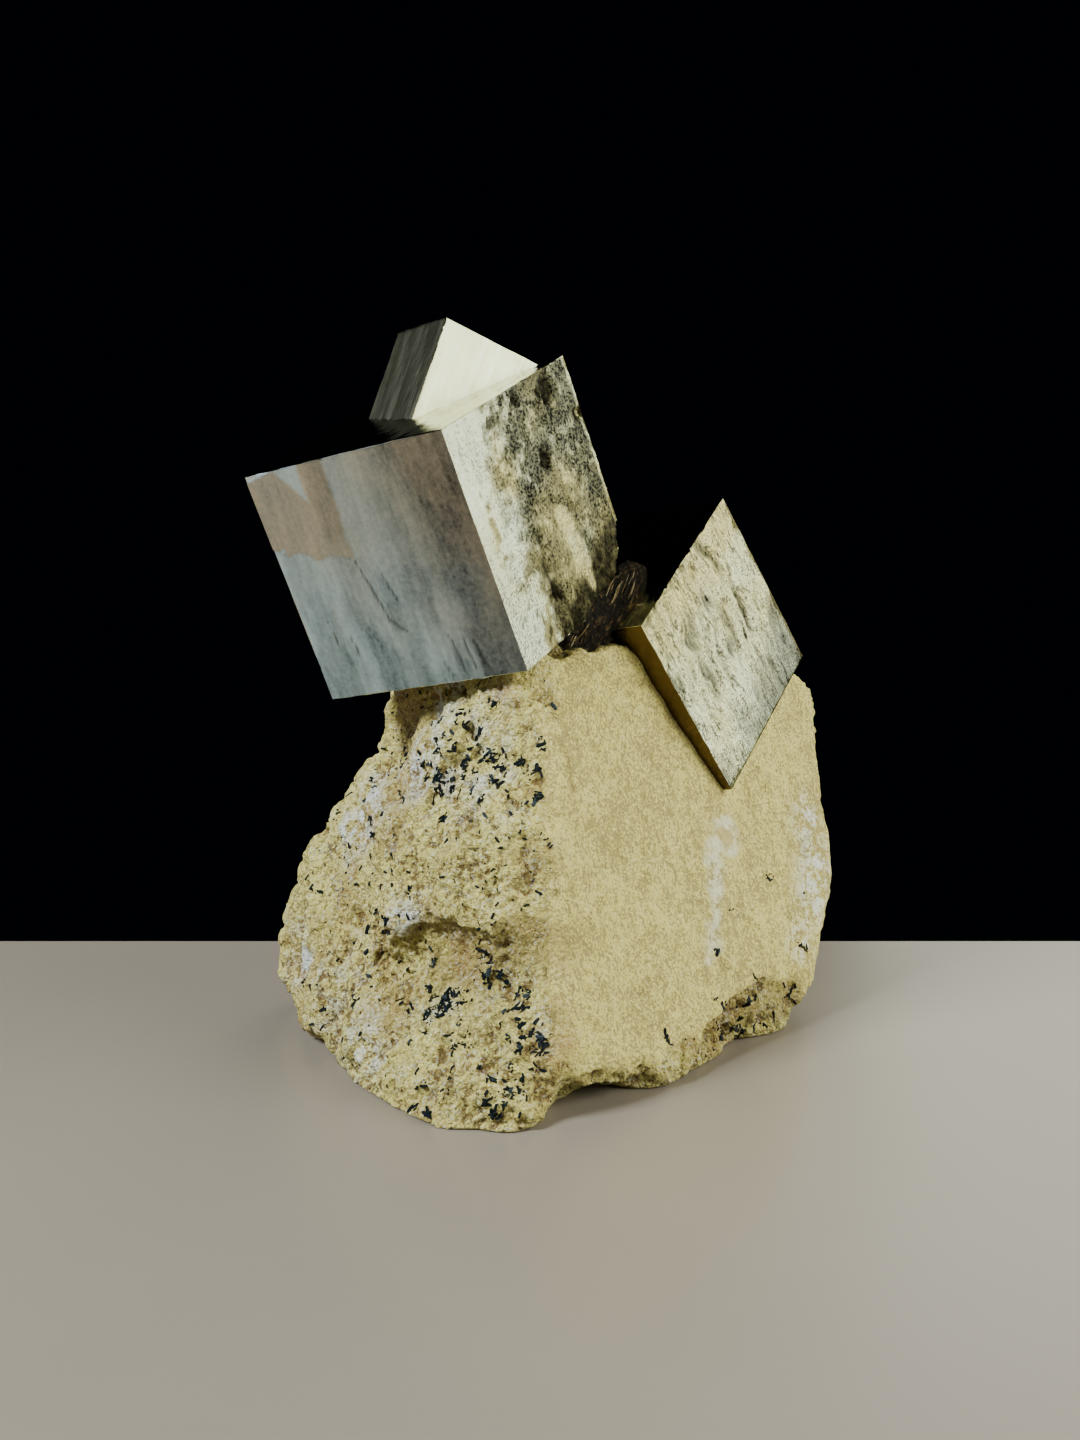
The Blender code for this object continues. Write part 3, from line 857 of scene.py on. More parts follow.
class PYRITE_OT_side_crystal(bpy.types.Operator):
    """Dresses the cube that stands on a corner in the smooth face"""

    bl_idname = "pyrite.side_crystal"
    bl_label = "Side cube"

    def execute(self, context):
        look = context.scene.pyrite_look
        reliefs = {**dict.fromkeys(FACES, striated), "front": side_front}
        mesh = crystal_mesh("side_cube_grown", SIDE[0], look.step, look.chip, reliefs)
        mesh.transform(pose(*SIDE[1:]))
        shade_smooth(mesh)
        mesh.set_sharp_from_angle(angle=SHARP_EDGE)
        finishes = [
            wavy_finish(look, face_way(SIDE, "front", 1)),
            *mirror_sides(look, "side cube", SIDE, SIDE_MIRRORS),
        ]
        add_piece("side_cube_grown", mesh, finishes, "pyrite", "side_cube")
        return {"FINISHED"}


# Marl


# How far outside a crystal its socket's points may lie
SOCKET_REACH = 0.0006


def socket_plug(points, crystal):
    """The hull of the rock's points in a crystal's socket, which closes the socket."""
    edge = crystal[0]
    inside = np.abs(own_place(points, crystal)).max(axis=1) * edge < edge / 2 + SOCKET_REACH
    shape = bmesh.new()
    for point in points[inside]:
        shape.verts.new(point)
    found = bmesh.ops.convex_hull(shape, input=shape.verts[:])
    loose = [piece for piece in found["geom_interior"] if isinstance(piece, bmesh.types.BMVert)]
    bmesh.ops.delete(shape, geom=loose, context="VERTS")
    return shape


def closed_rock(step):
    """The CAD's rock with its sockets filled, as an even mesh of small faces."""
    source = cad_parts["marl_matrix"].data
    shape = bmesh.new()
    shape.from_mesh(source)
    points = mesh_rows(source)
    for crystal in (LARGE, SIDE):
        plug = socket_plug(points, crystal)
        filler = bpy.data.meshes.new("filler")
        plug.to_mesh(filler)
        plug.free()
        shape.from_mesh(filler)
        bpy.data.meshes.remove(filler)
    mesh = bpy.data.meshes.new("marl")
    shape.to_mesh(mesh)
    shape.free()
    block = new_object("marl", mesh)
    even = block.modifiers.new("even faces", "REMESH")
    even.mode = "VOXEL"
    even.voxel_size = step
    made = evaluated_mesh(block)
    bpy.data.objects.remove(block, do_unlink=True)
    return made


def relax(points, edges, share, rounds):
    """Moves each point towards the middle of its neighbours, by its share, in rounds."""
    ends = np.concatenate([edges, edges[:, ::-1]])
    count = np.bincount(ends[:, 0], minlength=len(points))[:, None]
    for _ in range(rounds):
        sums = [np.bincount(ends[:, 0], points[ends[:, 1], axis], len(points)) for axis in range(3)]
        points = points + share[:, None] * (np.stack(sums, axis=1) / count - points)
    return points


def off_crystals(points):
    """Distance from the nearest large cube, below 0 inside it."""
    off = [
        (np.abs(own_place(points, crystal)).max(axis=1) - 0.5) * crystal[0]
        for crystal in (LARGE, SIDE)
    ]
    return np.min(off, axis=0)


def spots(points, places):
    """The sum of soft round spots, each a centre and a radius."""
    total = np.zeros(len(points))
    for centre, radius in places:
        off = np.linalg.norm(points - np.array(centre), axis=1)
        total += np.exp(-((off / radius) ** 2))
    return unit(total)


def off_line(points, line):
    """Distance from a line of straight pieces."""
    return np.min([off_segment(points, *ends)[0] for ends in zip(line, line[1:])], axis=0)


# Ridge between the smooth face and the broken one at its left
RIDGE = (
    (-0.0010, -0.0190, 0.0570),
    (-0.0020, -0.0325, 0.0294),
    (-0.0020, -0.0375, 0.0168),
    (-0.0005, -0.0405, 0.0060),
)
# Lip of the ledge in the broken side
LEDGE = ((-0.0240, -0.0180, 0.0235), (-0.0130, -0.0270, 0.0240), (-0.0040, -0.0345, 0.0245))
# Line at the back of the recess under the ledge, and how far and in which direction the worn
# rock there comes forward
RECESS = (
    (-0.0230, -0.0185, 0.0205),
    (-0.0177, -0.0178, 0.0198),
    (-0.0112, -0.0235, 0.0215),
    (-0.0082, -0.0282, 0.0228),
)
RECESS_FILL = 0.0026
RECESS_WAY = (-0.30, -0.95, -0.05)
# Swelling of the smooth face beside the side cube
SWELL = ((0.0100, -0.0060, 0.0600), 0.0120)
SWELL_HEIGHT = 0.0011
# Place where the lower edge of the smooth face is broken off
NOTCH_SPOTS = (
    ((0.0225, -0.0165, 0.0030), 0.0035),
    ((0.0270, -0.0110, 0.0045), 0.0045),
    ((0.0320, -0.0055, 0.0060), 0.0045),
    ((0.0370, 0.0000, 0.0040), 0.0040),
)
# Patches of the rock: centre and radius. Some are its own stains; the umber and chalk patches also
# hold painted shade and highlights
RUST_SPOTS = (
    ((-0.0240, -0.0007, 0.0520), 0.0045),
    ((-0.0189, -0.0087, 0.0535), 0.0040),
    ((-0.0083, -0.0202, 0.0567), 0.0022),
    ((-0.0240, -0.0110, 0.0400), 0.0020),
    ((0.0009, -0.0389, 0.0108), 0.0024),
    ((-0.0120, -0.0240, 0.0190), 0.0050),
    ((-0.0330, -0.0060, 0.0240), 0.0040),
)
# Chalk patches: painted highlights along the left and right rims, and pale patches near the flecks
CHALK_AND_HIGHLIGHT_SPOTS = (
    ((-0.0290, -0.0040, 0.0370), 0.0055),
    ((-0.0325, -0.0010, 0.0310), 0.0035),
    ((-0.0200, -0.0150, 0.0450), 0.0045),
    ((-0.0173, -0.0106, 0.0545), 0.0040),
    ((-0.0222, -0.0210, 0.0240), 0.0022),
    ((0.0408, 0.0145, 0.0302), 0.0035),
    ((0.0426, 0.0127, 0.0222), 0.0045),
    ((0.0412, 0.0095, 0.0180), 0.0035),
    ((0.0388, 0.0043, 0.0123), 0.0030),
    ((-0.0270, -0.0240, 0.0050), 0.0045),
    ((-0.0404, 0.0010, 0.0106), 0.0040),
)
# Umber patches: brown rock at the ridge, and painted shade under the ledge and under the large cube
UMBER_AND_SHADE_SPOTS = (
    ((-0.0080, -0.0290, 0.0195), 0.0055),
    ((-0.0140, -0.0255, 0.0190), 0.0055),
    ((-0.0030, -0.0335, 0.0230), 0.0040),
    ((-0.0021, -0.0270, 0.0428), 0.0022),
    ((-0.0026, -0.0308, 0.0346), 0.0030),
    ((0.0001, -0.0336, 0.0234), 0.0030),
    ((-0.0230, -0.0020, 0.0500), 0.0050),
    ((0.0002, -0.0377, 0.0154), 0.0025),
)
TINGE_SPOTS = (
    ((-0.0149, -0.0199, 0.0480), 0.0070),
    ((-0.0096, -0.0223, 0.0463), 0.0050),
    ((-0.0166, -0.0276, 0.0118), 0.0030),
    ((-0.0033, -0.0399, 0.0120), 0.0025),
    ((-0.0339, -0.0117, 0.0107), 0.0050),
)
# Pink spot of the smooth face, and the radius of the pale ring around it
PINK_SPOT = (0.0257, -0.0017, 0.0309)
RING = 0.0025
# Pale vein below the pink spot, and fine cracks
VEIN = (
    (0.0240, -0.0040, 0.0300),
    (0.0237, -0.0081, 0.0228),
    (0.0239, -0.0090, 0.0201),
    (0.0231, -0.0117, 0.0159),
)
CRACKS = (
    ((0.0010, -0.0180, 0.0550), (0.0035, -0.0142, 0.0570), (0.0063, -0.0109, 0.0590)),
    ((0.0002, -0.0219, 0.0500), (0.0012, -0.0215, 0.0470), (0.0020, -0.0229, 0.0428)),
)
# Height at which the saddle begins, whose rock is painted nearly black as shade with brown strands,
# and the way in which its strands lie
SADDLE_FOOT = 0.0612
SADDLE_WAY = (0.34, 0.72, 0.61)


def vein_mark(points):
    """1 on the pale vein below the side cube and on the ring around the pink spot."""
    wobble = 0.0007 * rough_noise(points, 0.0020, 71, 3)
    vein = smooth_step(0.0024, 0.0004, off_line(points, VEIN) + 1.6 * wobble)
    ring = np.abs(np.linalg.norm(points - np.array(PINK_SPOT), axis=1) - RING)
    return np.maximum(vein, smooth_step(0.0016, 0.0002, ring + 1.4 * wobble))


def carve_marl(mesh):
    """Roughens the broken rock, keeps the smooth face calm, and stores the marks."""
    edges = np.empty(len(mesh.edges) * 2, np.int32)
    mesh.edges.foreach_get("vertices", edges)
    edges = edges.reshape(-1, 2)
    points = mesh_rows(mesh)
    points = relax(points, edges, np.full(len(points), 0.5), 5)
    for line, full, rounds in ((RIDGE, 0.0020, 140), (LEDGE, 0.0030, 80)):
        near = smooth_step(0.0090, full, off_line(points, line))
        points = relax(points, edges, 0.5 * near, rounds)
    rim = smooth_step(0.0060, 0.0, off_line(points, RIDGE))
    recess = smooth_step(0.0070, 0.0, off_line(points, RECESS))
    points = points + np.outer(recess * RECESS_FILL, RECESS_WAY)
    off_plane = np.abs((points - np.array(SMOOTH_POINT)) @ np.array(SMOOTH_NORMAL))
    border = 0.0008 * rough_noise(points, 0.006, 61, 4, 0.6)
    border += rim * (0.0014 * rough_noise(points, 0.005, 67, 3) + 0.0004)
    broken = smooth_step(0.0004, 0.0020, off_plane + border)
    notch = smooth_step(0.45, 0.60, spots(points, NOTCH_SPOTS) + 60.0 * border)
    broken = np.maximum(broken, notch)
    broken = np.maximum(broken, smooth_step(0.0055, 0.0035, points[:, 2] + 2.0 * border))
    swell = spots(points, (SWELL,)) * (1.0 - broken)
    points = points + np.outer(swell * SWELL_HEIGHT, SMOOTH_NORMAL)
    move_points(mesh, points)
    normals = mesh_rows(mesh, "normal")
    wander = rough_noise(points, 0.009, 62, 3)
    lumps = rough_noise(points, 0.0055, 63, 3, 0.6)
    grains = 0.6 - 1.6 * np.abs(rough_noise(points, 0.0026, 64, 3, 0.6))
    bulges = rough_noise(points, 0.015, 68, 2)
    holes = smooth_step(0.35, 0.80, rough_noise(points, 0.0030, 66, 2))
    near = smooth_step(0.0010, 0.0001, off_crystals(points))
    saddle = smooth_step(0.0, 0.0008, points[:, 2] - SADDLE_FOOT - 0.0006 * grains)
    saddle *= smooth_step(-0.003, 0.000, points[:, 0]) * smooth_step(0.018, 0.015, points[:, 0])
    gap = saddle * smooth_step(0.0655, 0.0625, points[:, 2])
    cracks = sum(smooth_step(0.0005, 0.0001, off_line(points, crack)) for crack in CRACKS)
    height = broken * (0.45 * bulges + 0.70 * lumps + 0.60 * grains - 0.70 * holes - 0.15)
    height += (1.0 - broken) * (0.08 * wander + 0.09 * grains - 0.16 * cracks)
    ledge = smooth_step(0.0060, 0.0015, off_line(points, LEDGE))
    calm = 1.0 - 0.6 * near - 0.5 * rim - 0.2 * ledge
    height = height * np.maximum(calm, 0.0) - 1.6 * gap - 0.5 * notch
    above_foot = smooth_step(0.0, 0.0010, points[:, 2])
    points = points + normals * (height * MM * above_foot)[:, None]
    points = np.clip(points, np.array(CAD_LOW), np.array(CAD_HIGH))
    move_points(mesh, points)
    marks = {
        "broken": broken,
        # How high each point stands in the grain; the finish paints shade where it is low
        "raised": unit(0.5 + 0.4 * lumps + 0.3 * grains - 0.4 * holes),
        # Closeness to the cubes, where the finish paints a thin line of shade
        "contact_shade": near,
        "saddle": saddle,
        "rust": spots(points, RUST_SPOTS),
        "pink": spots(points, ((PINK_SPOT, 0.0030),)),
        "chalk_and_highlight": spots(points, CHALK_AND_HIGHLIGHT_SPOTS),
        # Umber mark: the patches, and painted shade in the undercut of the broken notch
        "umber_and_shade": np.maximum(spots(points, UMBER_AND_SHADE_SPOTS), 0.6 * notch),
        "tinge": spots(points, TINGE_SPOTS),
        "vein": vein_mark(points),
        "cracks": unit(cracks),
    }
    write_marks(mesh, marks)


def marl_finish(look):
    """Grainy marl: pale on its crests, with painted brown shade in its hollows, and with stains,
    vein and saddle.
    """
    graph = Graph("marl")
    broad = graph.noise(0.010, 4.0, 0.55)
    patch = graph.noise(0.0032, 4.0, 0.6)
    fine = graph.noise(0.0011, 4.0, 0.7)
    tiny = graph.noise(0.0004, 3.0, 0.6)
    grain = graph.cells(0.0010)
    broken = graph.mark("broken")
    raised = graph.mark("raised")
    pale = 0.5 + (broad - 0.5) * 2.0 + (patch - 0.5) * 2.6
    pale = pale + (fine - 0.5) * (4.5 + broken * 1.5) + (tiny - 0.5) * 6.5 + broken * 0.40
    stain = graph.rise(graph.noise(0.016, 5.0, 0.6, 0.4), 0.50, 0.66) * broken * 0.45
    # Painted shade: the low spots and fine hollows of the grain darkened towards umber
    hollow_shade = graph.clamp((0.42 - raised) * 2.6 * broken + (0.46 - fine) * 6.5 * (0.2 + broken))
    umber_and_shade = graph.clamp(graph.mark("umber_and_shade") * (patch * 1.8 - 0.25))
    rust = graph.clamp(graph.mark("rust") * (patch * 2.4 - 0.6))
    stray_rust = graph.rise(graph.noise(0.0045, 5.0, 0.65, 0.5), 0.58, 0.74) * broken * 0.6
    blush = graph.clamp(graph.mark("pink") * (patch * 1.4 + 0.3))
    pink = mixed((0.4, look.cream), (0.5, look.rust), (0.1, look.chalk_and_highlight))
    tinge = graph.mark("tinge") * graph.rise(patch + (fine - 0.5) * 0.6, 0.42, 0.62)
    chalk_and_highlight = graph.mark("chalk_and_highlight") * graph.rise(fine + (patch - 0.5) * 0.8, 0.42, 0.58) + tinge * 0.45
    # Painted highlights: fine bluish glints over the rock, most on the broken side
    painted_glints = graph.rise(tiny + (patch - 0.5) * 0.5, 0.56, 0.66) * (0.12 + broken * 0.32)
    vein = graph.mark("vein") * graph.rise(patch + (fine - 0.5) * 0.8, 0.32, 0.48)
    milky = mixed((0.45, look.cream), (0.55, look.chalk_and_highlight))
    specks = graph.rise(graph.noise(0.0009, 2.0, 0.5), 0.66, 0.72) * (0.2 + broken * 0.6)
    # Painted shade: a thin dark line where the rock meets the cubes, joined with the fine cracks
    seam_shade_and_cracks = graph.clamp(graph.mark("contact_shade") * (fine * 1.6 - 0.35) + graph.mark("cracks") * 0.7)
    strands = graph.noise(0.0006, 4.0, 0.65, place=graph.streaks(SADDLE_WAY, 6.0))
    strands = graph.rise(strands, 0.52, 0.70)
    # Painted shade: the saddle's rock nearly black, crossed by brown strands
    saddle = graph.blend(strands, mixed((0.03, look.umber_and_shade)), mixed((0.6, look.umber_and_shade)))
    layers = (
        (stain, look.rust),
        (hollow_shade * 0.85, look.umber_and_shade),
        (umber_and_shade * 0.75, look.umber_and_shade),
        (rust, look.rust),
        (stray_rust, look.rust),
        (blush, pink),
        (graph.clamp(chalk_and_highlight * 0.8 + painted_glints), look.chalk_and_highlight),
        (vein * 0.9, milky),
        (specks, look.fleck),
        (seam_shade_and_cracks * 0.7, look.umber_and_shade),
        (graph.mark("saddle"), saddle),
    )
    colour = graph.blend(graph.clamp(pale), look.beige, look.cream)
    for share, tone in layers:
        colour = graph.blend(share, colour, tone)
    graph.bump(fine * (0.55 + broken) + (1.0 - grain) * broken * 0.5 + tiny * 0.25, 0.0014)
    rough = 0.86 + (fine - 0.5) * 0.2
    return graph.finish(base_color=colour, roughness=rough)


class PYRITE_OT_marl(bpy.types.Operator):
    """Dresses the block of marl that holds the cubes"""

    bl_idname = "pyrite.marl"
    bl_label = "Marl"

    def execute(self, context):
        look = context.scene.marl_look
        mesh = closed_rock(look.step)
        carve_marl(mesh)
        shade_smooth(mesh)
        add_piece("marl_block", mesh, [marl_finish(look)], "marl", "marl_matrix")
        return {"FINISHED"}


# Clusters of flecks in the marl: centre, spread and number of bundles
FLECK_CLUSTERS = (
    ((-0.0149, -0.0199, 0.0458), 0.0036, 46),
    ((-0.0096, -0.0223, 0.0463), 0.0026, 18),
    ((-0.0113, -0.0202, 0.0531), 0.0020, 8),
    ((-0.0056, -0.0245, 0.0459), 0.0018, 8),
    ((-0.0029, -0.0242, 0.0502), 0.0003, 2),
    ((-0.0021, -0.0270, 0.0435), 0.0006, 2),
    ((-0.0259, -0.0067, 0.0399), 0.0040, 10),
    ((-0.0279, -0.0081, 0.0325), 0.0036, 6),
    ((-0.0251, -0.0179, 0.0247), 0.0036, 6),
    ((-0.0339, -0.0117, 0.0107), 0.0055, 10),
    ((-0.0284, -0.0201, 0.0121), 0.0045, 7),
    ((-0.0166, -0.0276, 0.0118), 0.0021, 44),
    ((-0.0091, -0.0289, 0.0177), 0.0012, 12),
    ((-0.0087, -0.0263, 0.0210), 0.0005, 3),
    ((-0.0061, -0.0354, 0.0171), 0.0009, 8),
    ((-0.0033, -0.0399, 0.0120), 0.0019, 20),
    ((-0.0075, -0.0417, 0.0060), 0.0022, 15),
    ((-0.0132, -0.0358, 0.0101), 0.0022, 8),
    ((-0.0177, -0.0395, 0.0035), 0.0026, 7),
    ((-0.0080, -0.0430, 0.0026), 0.0016, 3),
    ((0.0157, -0.0246, 0.0064), 0.0005, 2),
    ((0.0246, -0.0102, 0.0157), 0.0006, 2),
    ((0.0266, -0.0063, 0.0195), 0.0008, 1),
    ((0.0336, 0.0034, 0.0231), 0.0014, 2),
    ((0.0385, 0.0040, 0.0120), 0.0010, 2),
    ((0.0296, -0.0071, 0.0040), 0.0030, 16),
    ((0.0252, -0.0128, 0.0045), 0.0022, 8),
)
# How far apart the flecks of a bundle may sit, how many they are, and their lengths
BUNDLE = 0.0007
BUNDLE_COUNT = (2, 8)
FLECK_LENGTH = (0.0003, 0.0016)
# Rings of a fleck along its length: place, and width as a share of the widest
FLECK_RINGS = ((-0.5, 0.30), (-0.36, 1.0), (0.34, 0.9), (0.5, 0.30))
PALE_FLECK = (0.08, 0.11, 0.12)
# Least distance of a fleck from the crystals and from the floor
OFF_CRYSTALS = 0.0004
OFF_FLOOR = 0.0012


def fleck_seats(rock, look, dice):
    """Points of the rock that carry a fleck: bundles in the clusters, and single ones."""
    points = mesh_rows(rock)
    broken = np.empty(len(points), np.float32)
    rock.attributes["broken"].data.foreach_get("value", broken)
    open_air = (off_crystals(points) > OFF_CRYSTALS) & (points[:, 2] > OFF_FLOOR)
    centres = []
    for centre, spread, count in FLECK_CLUSTERS:
        off = np.linalg.norm(points - np.array(centre), axis=1)
        chance = np.exp(-0.5 * (off / spread) ** 2) * open_air
        centres.append(dice.choice(len(points), count, p=chance / chance.sum()))
    seats = []
    for seat in np.concatenate(centres):
        near = np.flatnonzero(np.linalg.norm(points - points[seat], axis=1) < BUNDLE)
        seats.append(dice.choice(near, dice.integers(*BUNDLE_COUNT)))
    chance = broken * open_air * smooth_step(-0.4, 0.9, rough_noise(points, 0.008, 81, 3))
    seats.append(dice.choice(len(points), look.scattered, p=chance / chance.sum()))
    return np.concatenate(seats)


def fleck_mesh(rock, look):
    """Small dark blades, half sunk into the rock, all in one mesh."""
    dice = np.random.default_rng(2011)
    seats = fleck_seats(rock, look, dice)
    count = len(seats)
    middle, out = mesh_rows(rock)[seats], mesh_rows(rock, "normal")[seats]
    any_way = dice.normal(size=(count, 3)) + np.array([0.6, -0.2, 1.3])
    along = np.cross(np.cross(out, any_way), out) + 0.3 * out * dice.normal(size=(count, 1))
    along /= np.linalg.norm(along, axis=1)[:, None]
    across = np.cross(along, out)
    across /= np.linalg.norm(across, axis=1)[:, None]
    length = FLECK_LENGTH[0] + (FLECK_LENGTH[1] - FLECK_LENGTH[0]) * dice.random(count) ** 2.0
    width = length * dice.uniform(0.14, 0.38, count) + 0.00014
    rise = dice.uniform(0.00008, 0.00026, count)
    rings = []
    for share, girth in FLECK_RINGS:
        spine = middle + along * (share * length)[:, None]
        half = across * (0.5 * girth * width)[:, None]
        lift = out * (girth * rise)[:, None]
        rings += [spine - half, spine + lift, spine + half, spine - 2.5 * lift]
    points = np.stack(rings, axis=1)
    inside = (points > np.array(CAD_LOW)).all(axis=2) & (points < np.array(CAD_HIGH)).all(axis=2)
    points = points[inside.all(axis=1)]
    return strand_mesh("marl_flecks", points, dice.random(len(points)))


def strand_mesh(name, points, shade):
    """A mesh of closed strands, each a row of rings of four points, with a shade for each."""
    count, each = points.shape[:2]
    last = each - 4
    quads = [(0, 1, 2, 3), (last + 3, last + 2, last + 1, last)]
    for ring, side in itertools.product(range(0, last, 4), range(4)):
        turn = (side + 1) % 4
        quads.append((ring + side, ring + 4 + side, ring + 4 + turn, ring + turn))
    faces = np.array(quads)[None] + each * np.arange(count)[:, None, None]
    mesh = bpy.data.meshes.new(name)
    mesh.from_pydata(points.reshape(-1, 3), [], faces.reshape(-1, 4))
    mesh.update()
    write_marks(mesh, {"shade": np.repeat(shade, each)})
    return mesh


def fleck_finish(look):
    """Blue-black ore, a few of its flecks paler."""
    graph = Graph("flecks")
    shade = graph.mark("shade")
    grain = graph.noise(0.0003, 3.0, 0.6)
    pale = graph.clamp(graph.rise(shade, 0.80, 1.0) * 0.35 + (grain - 0.6) * 0.3)
    colour = graph.blend(pale, look.fleck, PALE_FLECK)
    graph.bump(grain, 0.0001)
    return graph.finish(base_color=colour, roughness=0.45 + shade * 0.3, specular_ior_level=0.3)


class PYRITE_OT_flecks(bpy.types.Operator):
    """Scatters the dark flecks over the marl"""

    bl_idname = "pyrite.flecks"
    bl_label = "Flecks"

    def execute(self, context):
        look = context.scene.marl_look
        rock = bpy.data.objects["marl_block"].data
        add_piece("marl_flecks", fleck_mesh(rock, look), [fleck_finish(look)], "marl")
        return {"FINISHED"}


# Brown fibres in the groove between the two large cubes: they rise over the saddle, from a
# line behind the smooth face's rim to a line near its top
FIBRE_ROOTS = ((0.0005, -0.0120, 0.0612), (0.0085, -0.0070, 0.0615))
FIBRE_TIPS = ((0.0070, 0.0000, 0.0705), (0.0122, 0.0010, 0.0718))
# Way out of the saddle, number of fibres, and rings along each
SADDLE_OUT = np.array([0.20, -0.68, 0.70])
FIBRES = 220
FIBRE_RINGS = 9


def fibre_mesh():
    """Flat tapered strands, bent over the saddle, all in one mesh."""
    dice = np.random.default_rng(77)
    roots, tips = np.array(FIBRE_ROOTS), np.array(FIBRE_TIPS)
    share = dice.random((FIBRES, 1))
    bottom = roots[0] + (roots[1] - roots[0]) * share
    top_share = unit(share + dice.normal(0.0, 0.15, (FIBRES, 1)))
    top = tips[0] + (tips[1] - tips[0]) * top_share
    low = dice.uniform(0.0, 0.65, (FIBRES, 1))
    high = low + dice.uniform(0.22, 0.50, (FIBRES, 1))
    start = bottom + (top - bottom) * low - SADDLE_OUT * 0.0008
    end = bottom + (top - bottom) * high + SADDLE_OUT * dice.uniform(-0.0002, 0.0012, (FIBRES, 1))
    middle = (start + end) / 2 + SADDLE_OUT * dice.uniform(0.0002, 0.0014, (FIBRES, 1))
    middle += dice.normal(size=(FIBRES, 3)) * 0.0006
    radius = dice.uniform(0.00004, 0.00013, (FIBRES, 1))
    rings = []
    for place in np.linspace(0.0, 1.0, FIBRE_RINGS):
        spine = (1 - place) ** 2 * start + 2 * place * (1 - place) * middle + place**2 * end
        way = 2 * (1 - place) * (middle - start) + 2 * place * (end - middle)
        way /= np.linalg.norm(way, axis=1)[:, None]
        side = np.cross(way, SADDLE_OUT)
        side /= np.linalg.norm(side, axis=1)[:, None]
        girth = radius * (0.2 + 0.8 * math.sin(math.pi * min(1.0, 0.2 + 0.8 * place)) ** 0.6)
        lift = np.cross(side, way) * girth * 0.45
        rings += [spine - side * girth, spine + lift, spine + side * girth, spine - lift]
    return strand_mesh("saddle_fibres", np.stack(rings, axis=1), dice.random(FIBRES))


def fibre_finish(look):
    """Dark to mid brown strands, a few of them straw-coloured."""
    graph = Graph("brown fibres")
    shade = graph.mark("shade")
    grain = graph.noise(0.0006, 4.0, 0.65)
    dark, brown = mixed((0.10, look.umber_and_shade)), mixed((1.1, look.umber_and_shade))
    colour = graph.blend(graph.rise(shade, 0.35, 0.80), dark, brown)
    straw = mixed((0.5, look.beige), (0.12, look.chalk_and_highlight))
    colour = graph.blend(graph.rise(shade + (grain - 0.5) * 0.6, 0.62, 0.90) * 0.8, colour, straw)
    graph.bump(grain, 0.0002)
    return graph.finish(base_color=colour, roughness=0.7 + (grain - 0.5) * 0.3)


class PYRITE_OT_fibres(bpy.types.Operator):
    """Lays the brown fibres in the groove between the large cubes"""

    bl_idname = "pyrite.fibres"
    bl_label = "Fibres in the saddle"

    def execute(self, context):
        look = context.scene.marl_look
        add_piece("saddle_fibres", fibre_mesh(), [fibre_finish(look)], "marl")
        return {"FINISHED"}


# Stage

# Camera, its pitch in degrees and its sensor in millimetres
CAMERA_PLACE = Vector((-0.00264, -0.2719, 0.0945))
CAMERA_PITCH = 80.5
SENSOR_WIDTH = 36.0
DARK_SKY = (0.0006, 0.0008, 0.0018, 1.0)
# Corners of the floor, and the width of its rounded edge
FLOOR_LOW = (-0.60, -0.70, -0.02)
FLOOR_HIGH = (0.60, 0.050, 0.0)
FLOOR_EDGE = 0.003

# Lights: name, place, size, the power that it takes and its share of it, colour, and whether
# the crystals mirror it
WARM, COOL, PEARLY = (1.0, 0.97, 0.88), (0.90, 0.96, 1.0), (0.94, 1.0, 0.84)
LIGHTS = (
    ("key", (0.40, -0.16, 0.28), (0.30, 0.24), "key_power", 1.0, WARM, False),
    ("fill", (-0.39, -0.26, 0.42), (0.16, 0.16), "fill_power", 1.0, COOL, False),
    ("rim", (0.10, 0.46, 0.30), (0.30, 0.25), "rim_power", 1.0, WARM, False),
    ("right card", (0.46, -0.06, 0.17), (0.85, 0.50), "card_power", 1.0, PEARLY, True),
    ("rear card", (0.26, 0.42, 0.20), (0.30, 0.30), "card_power", 0.15, PEARLY, True),
    ("left card", (-0.48, 0.06, 0.16), (0.36, 0.30), "card_power", 0.12, COOL, True),
)


def floor_mesh():
    """A slab whose far edge lies close behind the specimen, with rounded edges."""
    shape = bmesh.new()
    bmesh.ops.create_cube(shape, size=1.0)
    low, high = Vector(FLOOR_LOW), Vector(FLOOR_HIGH)
    place = Matrix.Translation((low + high) / 2) @ Matrix.Diagonal((*(high - low), 1.0))
    bmesh.ops.transform(shape, matrix=place, verts=shape.verts)
    bmesh.ops.bevel(shape, geom=shape.edges[:], offset=FLOOR_EDGE, segments=4, affect="EDGES")
    mesh = bpy.data.meshes.new("floor")
    shape.to_mesh(mesh)
    shape.free()
    return mesh


def floor_finish(look):
    """Even pale floor with a faint cloud in its tone."""
    graph = Graph("pale floor")
    cloud = graph.noise(0.03, 3.0, 0.5)
    shade = mixed((0.93, look.floor))
    colour = graph.blend(graph.clamp(cloud), shade, look.floor)
    return graph.finish(base_color=colour, roughness=0.32)


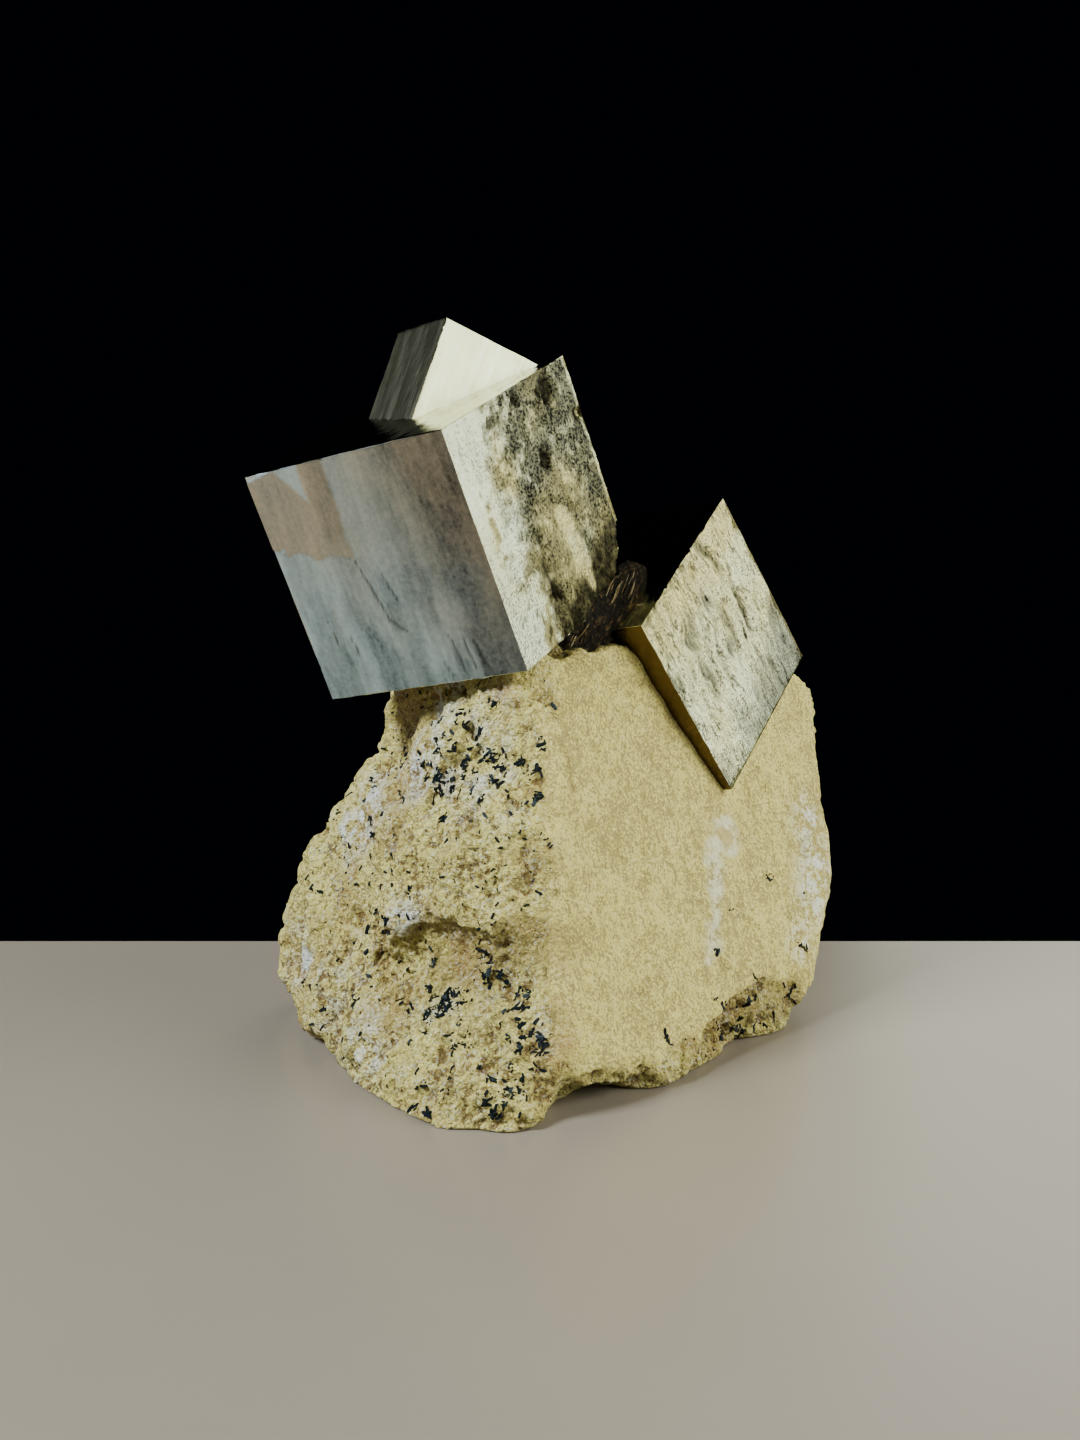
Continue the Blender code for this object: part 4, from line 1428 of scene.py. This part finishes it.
def add_light(name, place, size, power, colour, mirrored):
    """A soft light aimed at the specimen, which the crystals mirror or leave out."""
    data = bpy.data.lights.new(name, "AREA")
    data.shape = "RECTANGLE"
    data.size, data.size_y = size
    data.energy = power
    data.color = colour
    light = new_object(name, data)
    light.location = place
    light.visible_glossy = mirrored
    way = (CAD_LOW + CAD_HIGH) / 2 - light.location
    light.rotation_euler = way.to_track_quat("-Z", "Y").to_euler()


class PYRITE_OT_stage(bpy.types.Operator):
    """Adds the floor, the lights and the camera"""

    bl_idname = "pyrite.stage"
    bl_label = "Stage"

    def execute(self, context):
        look = context.scene.stage_look
        floor = new_object("floor", floor_mesh())
        floor.data.materials.append(floor_finish(look))
        for name, place, size, power_name, share, colour, mirrored in LIGHTS:
            add_light(name, place, size, getattr(look, power_name) * share, colour, mirrored)
        world = bpy.data.worlds.new("dark studio")
        world.use_nodes = True
        world.node_tree.nodes["Background"].inputs["Color"].default_value = DARK_SKY
        context.scene.world = world
        camera = new_object("camera", bpy.data.cameras.new("camera"))
        camera.data.lens = look.lens
        camera.data.sensor_width = SENSOR_WIDTH
        camera.location = CAMERA_PLACE
        camera.rotation_euler = (math.radians(CAMERA_PITCH), 0.0, 0.0)
        context.scene.camera = camera
        return {"FINISHED"}


class PYRITE_PT_panel(bpy.types.Panel):
    """Lists the steps that build the specimen"""

    bl_idname = "PYRITE_PT_panel"
    bl_label = "Pyrite on Marl"
    bl_space_type = "VIEW_3D"
    bl_region_type = "UI"
    bl_category = "Pyrite"

    def draw(self, context):
        for step in STEPS:
            self.layout.operator(step.bl_idname)


STEPS = (
    PYRITE_OT_stage,
    PYRITE_OT_large_crystals,
    PYRITE_OT_side_crystal,
    PYRITE_OT_marl,
    PYRITE_OT_flecks,
    PYRITE_OT_fibres,
)
LOOKS = {"pyrite_look": PyriteLook, "marl_look": MarlLook, "stage_look": StageLook}


def register():
    for made in (*LOOKS.values(), *STEPS, PYRITE_PT_panel):
        bpy.utils.register_class(made)
    for name, group in LOOKS.items():
        setattr(bpy.types.Scene, name, PointerProperty(type=group))


def unregister():
    for name in LOOKS:
        delattr(bpy.types.Scene, name)
    for made in reversed((*LOOKS.values(), *STEPS, PYRITE_PT_panel)):
        bpy.utils.unregister_class(made)


def main():
    register()
    for step in STEPS:
        group, name = step.bl_idname.split(".")
        getattr(getattr(bpy.ops, group), name)()


if __name__ == "__main__":
    main()
